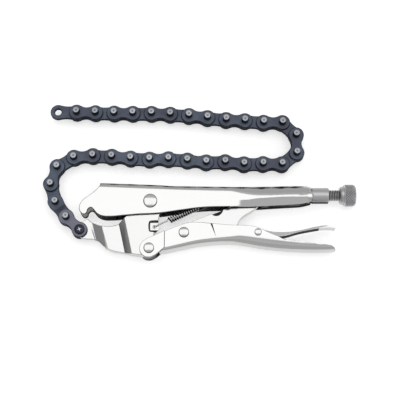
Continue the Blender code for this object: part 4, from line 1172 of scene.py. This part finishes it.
# Faces of the coils that don't face outwards get the near-black finish: painted shade.
for face in spring.data.polygons:
    reach = face.center - LUG_HOLE - Vector((0, 0, REST_HEIGHT))
    place = reach.dot(along)
    outwards = (reach - along * place).normalized()
    coiled = COIL_INSET * 0.95 < place < axis.length - COIL_INSET * 0.95
    face.material_index = 1 if coiled and outwards.dot(face.normal) < 0.62 else 0
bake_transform(spring)
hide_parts("return_spring")
print("spring:", len(route), "points,", triangles(spring), "triangles")

# %% [markdown]
# The chain has two kinds of link in turn. An outer link is a pair of waisted plates, a plate's
# thickness apart on either side, with two pins pressed through them. An inner link is a pair of
# plates face to face. Each kind is modelled once with rounded edges and copied to its hinge.

# %% Parts of the links
PITCH = 0.015875
PLATE = 0.0019
PLATE_RADIUS = 0.0065
OUTER_WAIST = 0.0043
INNER_WAIST = 0.00535
PIN_RADIUS = 0.00254
PIN_FOOT = 0.00305
PIN_EDGE = 0.0093
DIMPLE_RADIUS = 0.0009
RUNNING_ROOM = 0.0003
OUTER_LOW = PLATE + RUNNING_ROOM
OUTER_HIGH = 2 * PLATE + RUNNING_ROOM


def link_outline(waist, end_steps=22, waist_steps=8):
    """A plate's outline: round ends about its pins, drawn in to a waist by an arc."""
    half = PITCH / 2
    hollow = (half**2 + waist**2 - PLATE_RADIUS**2) / (2 * (PLATE_RADIUS - waist))
    meeting = math.atan2(waist + hollow, half)
    points = []
    for centre, start, side in ((0, meeting, -1), (PITCH, math.pi + meeting, 1)):
        for step in range(end_steps + 1):
            angle = start + (math.tau - 2 * meeting) * step / end_steps
            points.append((SHARP, centre + PLATE_RADIUS * math.cos(angle), PLATE_RADIUS * math.sin(angle)))
        opening = math.pi / 2 - meeting
        for step in range(1, waist_steps):
            angle = (opening - 2 * opening * step / waist_steps) * side
            reach = waist + hollow - hollow * math.cos(angle)
            points.append((SHARP, half + hollow * math.sin(angle), side * reach))
    return points


LINK_FINISHES = (OXIDE, OXIDE_PAINTED_EDGE_SHADE, PIN_END, PIN_DIMPLE)


def link_plate(waist, low, high, holes, hole_radius):
    """One plate with rounded edges: oxide faces, and edges near black as painted shade."""
    piece = plate("plate", link_outline(waist), (high - low) / 2, steps=1)
    finished(piece, *LINK_FINISHES)
    for place in holes:
        drilled(piece, (place, 0, 0), hole_radius, around=32)
    settle(piece, (0, 0, (low + high) / 2))
    weld(piece, 0.000005, flat=0.1)
    soften(piece, 0.0007, 4)
    for face in piece.data.polygons:
        face.material_index = 1 if abs(face.normal.z) < 0.9 else 0
    return piece


def pin_at(place):
    """A pin with a swaged foot, and a small chamfer and a dimple at either end."""
    upper = [
        (0.00005, 0.00955), (0.0006, 0.00957), (DIMPLE_RADIUS, 0.00965), (0.0012, REST_HEIGHT),
        (0.0019, REST_HEIGHT), (0.0023, 0.0096), (PIN_RADIUS, PIN_EDGE), (PIN_RADIUS, OUTER_HIGH + 0.0008),
        (PIN_FOOT, OUTER_HIGH + 0.0004), (PIN_FOOT, OUTER_HIGH - 0.0002), (PIN_RADIUS, 0.002),
    ]
    lower = [(radius, -height) for radius, height in upper]
    piece = turned("pin", [*lower, *reversed(upper)], 32)
    finished(piece, *LINK_FINISHES)
    shade(piece, 35)
    for face in piece.data.polygons:
        distance = math.hypot(face.center.x, face.center.y)
        outward = abs(face.center.z) > PIN_EDGE
        # The pin's sides take the near-black finish: painted shade.
        face.material_index = (3 if distance < DIMPLE_RADIUS else 2) if outward else 1
    settle(piece, (place, 0, 0))
    return piece


def joined(name, parts):
    """Several parts as one piece."""
    only(parts[0])
    for part in parts[1:]:
        part.select_set(True)
    bpy.ops.object.join()
    parts[0].name = name
    return parts[0]


print("outline points of a plate:", len(link_outline(OUTER_WAIST)))

# %% [markdown]
# A master of each kind is put together from plates and pins. The first link straddles the jaw's
# tongue and turns on the anchor rivet. The second is an offset link, cranked from the inner plates'
# spacing to the outer plates' spacing, which brings the chain from a narrow end to a wide one.

# %% Masters of the links
PIN_HOLE = PIN_RADIUS + RUNNING_ROOM
FACE_GAP = 0.00002
CRANK = (
    (-0.013, PLATE), (PLATE_RADIUS + RUNNING_ROOM, PLATE), (PITCH - 0.0055, OUTER_HIGH),
    (0.029, OUTER_HIGH), (0.029, OUTER_LOW), (PITCH - PLATE_RADIUS - RUNNING_ROOM, OUTER_LOW),
)


def outer_master(name, pins, holes):
    """A pair of plates apart with the pins pressed through them."""
    parts = []
    for low, high in ((OUTER_LOW, OUTER_HIGH), (-OUTER_HIGH, -OUTER_LOW)):
        parts.append(link_plate(OUTER_WAIST, low, high, holes, ANCHOR_HOLE))
    return joined(name, parts + [pin_at(place) for place in pins])


def inner_master(name):
    """A pair of plates face to face, with holes for the next links' pins."""
    parts = []
    for low, high in ((FACE_GAP, PLATE), (-PLATE, -FACE_GAP)):
        parts.append(link_plate(INNER_WAIST, low, high, (0, PITCH), PIN_HOLE))
    return joined(name, parts)


def offset_master(name):
    """Plates cranked from face to face at one end to apart at the other, with one pin."""
    piece = plate(name, link_outline(INNER_WAIST), OUTER_HIGH + OVERRUN, steps=1)
    thinned(finished(piece, *LINK_FINISHES), CRANK)
    drilled(piece, CENTRE, PIN_HOLE, around=32)
    weld(piece, 0.000005, flat=0.1)
    soften(piece, 0.00028, 3)
    # The edges take the near-black finish: painted shade.
    for face in piece.data.polygons:
        face.material_index = 1 if abs(face.normal.z) < 0.35 else 0
    return joined(name, [piece, pin_at(PITCH)])


masters = {
    "anchor": outer_master("anchor_master", (PITCH,), (0,)),
    "offset": offset_master("offset_master"),
    "outer": outer_master("outer_master", (0, PITCH), ()),
    "inner": inner_master("inner_master"),
}
masters["anchor"].data.materials[0] = GREY_LINK
for kind, master in masters.items():
    print(kind, triangles(master), "triangles,", len(master.data.materials), "finishes")

# %% [markdown]
# Every link turns about its own hinge, whose place the frame gives. A link's direction is read from
# the middle of its solid, and a copy of the right master is turned to it and set down.

# %% Lay the chain
chain_joints = [joint for joint in frame["joints"] if joint["name"].startswith("chain_hinge")]
hinges = {joint["child"]: joint["pos_m"] for joint in chain_joints}
for number in range(1, len(hinges) + 1):
    body = f"link_{number:02d}"
    node = next(name for name in frame["nodes"] if name.startswith(f"chain_link_{number:02d}_"))
    kind = node.rsplit("_", 1)[1]
    hinge = Vector(hinges[body])
    solid = frame["nodes"][node].data.vertices
    middle = sum((vertex.co for vertex in solid), Vector()) / len(solid)
    heading = math.atan2(middle.y - hinge.y, middle.x - hinge.x)
    only(masters[kind])
    bpy.ops.object.duplicate(linked=False)
    link = bpy.context.object
    link.name = f"{kind}_link_{number:02d}"
    settle(link, hinge, (0, 0, heading))
    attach(link, body)
    "chain_grey" if kind == "anchor" else "chain_black"
    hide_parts(node)
for master in masters.values():
    bpy.data.objects.remove(master)
print("links laid:", len(hinges))

# %% [markdown]
# The anchor rivet holds the first link to the jaw. It is blackened, and a shallow cross is cut into
# its head, whose bright finish is a painted highlight in the shape of a small star.

# %% The anchor rivet
ANCHOR_UNDER = OUTER_HIGH + RUNNING_ROOM
HEAD_RISE = 0.0015
STAR_REACH = 0.0022
STAR_WAIST = 0.00045
STAR_HALF = 0.0006
STAR_LIFT = 0.0018

anchor_sizes = (0.0026, 0.00415, ANCHOR_UNDER, ANCHOR_UNDER + HEAD_RISE)
anchor = rivet("chain_anchor_rivet", "jaw", anchor_sizes, ANCHOR, BLACK_RIVET, OXIDE_PAINTED_EDGE_SHADE)
for degrees in (20, 110):
    reach = Vector((math.cos(math.radians(degrees)), math.sin(math.radians(degrees)), 0))
    aside = Vector((-reach.y, reach.x, 0))
    corners = [reach * STAR_REACH, aside * STAR_WAIST, -reach * STAR_REACH, -aside * STAR_WAIST]
    star = plate("star", [(SHARP, corner.x, corner.y) for corner in corners], STAR_HALF)
    settle(star, ANCHOR + Vector((0, 0, REST_HEIGHT + ANCHOR_UNDER + STAR_LIFT)))
    combine(anchor, finished(star, STAR_HIGHLIGHT), "DIFFERENCE")
print("anchor rivet with its star:", triangles(anchor), "triangles")

# %% [markdown]
# The studio is a pale floor under soft light. The floor shows white to the camera and in the metal,
# and keeps the shadow of the tool, because only part of its brightness is its own.

# %% The floor
OWN_SHARE = 0.52
FLOOR_SIZE = 4

only(camera)
bpy.ops.mesh.primitive_plane_add(size=FLOOR_SIZE, location=CENTRE)
floor = bpy.context.object
floor.name = "floor"
material, start, shader = blank("pale_floor")
tree = material.node_tree
path = start.node("ShaderNodeLightPath")
seen = Shade(tree, path.socket.node.outputs["Is Camera Ray"])
seen = seen + Shade(tree, path.socket.node.outputs["Is Glossy Ray"])
seen = seen + Shade(tree, path.socket.node.outputs["Is Transmission Ray"])
shader.inputs["Base Color"].default_value = (0.86, 0.86, 0.86, 1)
shader.inputs["Roughness"].default_value = 1
shader.inputs["Specular IOR Level"].default_value = 0
glow = start.node("ShaderNodeEmission", None, {"Color": (1, 1, 1, 1), "Strength": seen * OWN_SHARE})
both = start.node("ShaderNodeAddShader", None, {0: glow, 1: Shade(tree, shader.outputs[0])})
tree.links.new(both.socket, tree.nodes["Material Output"].inputs["Surface"])
finished(floor, material)
print("floor:", FLOOR_SIZE, "m wide")

# %% [markdown]
# A wide lamp stands above the far side. The world round it is a tent whose brightness changes a little
# with height and falls off to one side, because bright metal shows its form only by what it mirrors.

# %% Lamp and world
LAMP_BRIGHTNESS = 1.15
LAMP_WIDTH = 1.0
LAMP_DEPTH = 0.5
LAMP_TILT = math.radians(10.5)
LAMP_DISTANCE = 0.9
bpy.ops.object.light_add(
    type="AREA", rotation=(-LAMP_TILT, 0, 0),
    location=(0.04, LAMP_DISTANCE * math.sin(LAMP_TILT), LAMP_DISTANCE * math.cos(LAMP_TILT)),
)
lamp = bpy.context.object
lamp.data.shape = "RECTANGLE"
lamp.data.size = LAMP_WIDTH
lamp.data.size_y = LAMP_DEPTH
lamp.data.energy = math.pi * LAMP_WIDTH * LAMP_DEPTH * LAMP_BRIGHTNESS

TENT = ((0.0, 0.6), (0.3, 0.64), (0.62, 0.58), (0.82, 0.76), (0.93, 0.7), (1.0, 0.64))
SHADED_SIDE = ((0.45, 1.0), (0.62, 0.42), (0.84, 0.12))
world = bpy.data.worlds.new("studio")
bpy.context.scene.world = world
world.use_nodes = True
start = Shade(world.node_tree)
direction = start.node("ShaderNodeTexCoord")
split = start.node("ShaderNodeSeparateXYZ", None, {0: direction})
height = Shade(world.node_tree, split.socket.node.outputs["Z"])
aside = Shade(world.node_tree, split.socket.node.outputs["X"])
tent = start.node("ShaderNodeValToRGB", {"stops": TENT}, {0: height})
dark_side = start.node("ShaderNodeValToRGB", {"stops": SHADED_SIDE}, {0: aside * -1})
mixing = {"data_type": "RGBA", "blend_type": "MULTIPLY"}
sky = start.node("ShaderNodeMix", mixing, {0: 1.0, 6: tent, 7: dark_side}, output=2)
background = world.node_tree.nodes["Background"]
world.node_tree.links.new(sky.socket, background.inputs["Color"])
print("lamp:", round(lamp.data.energy, 2), "W")
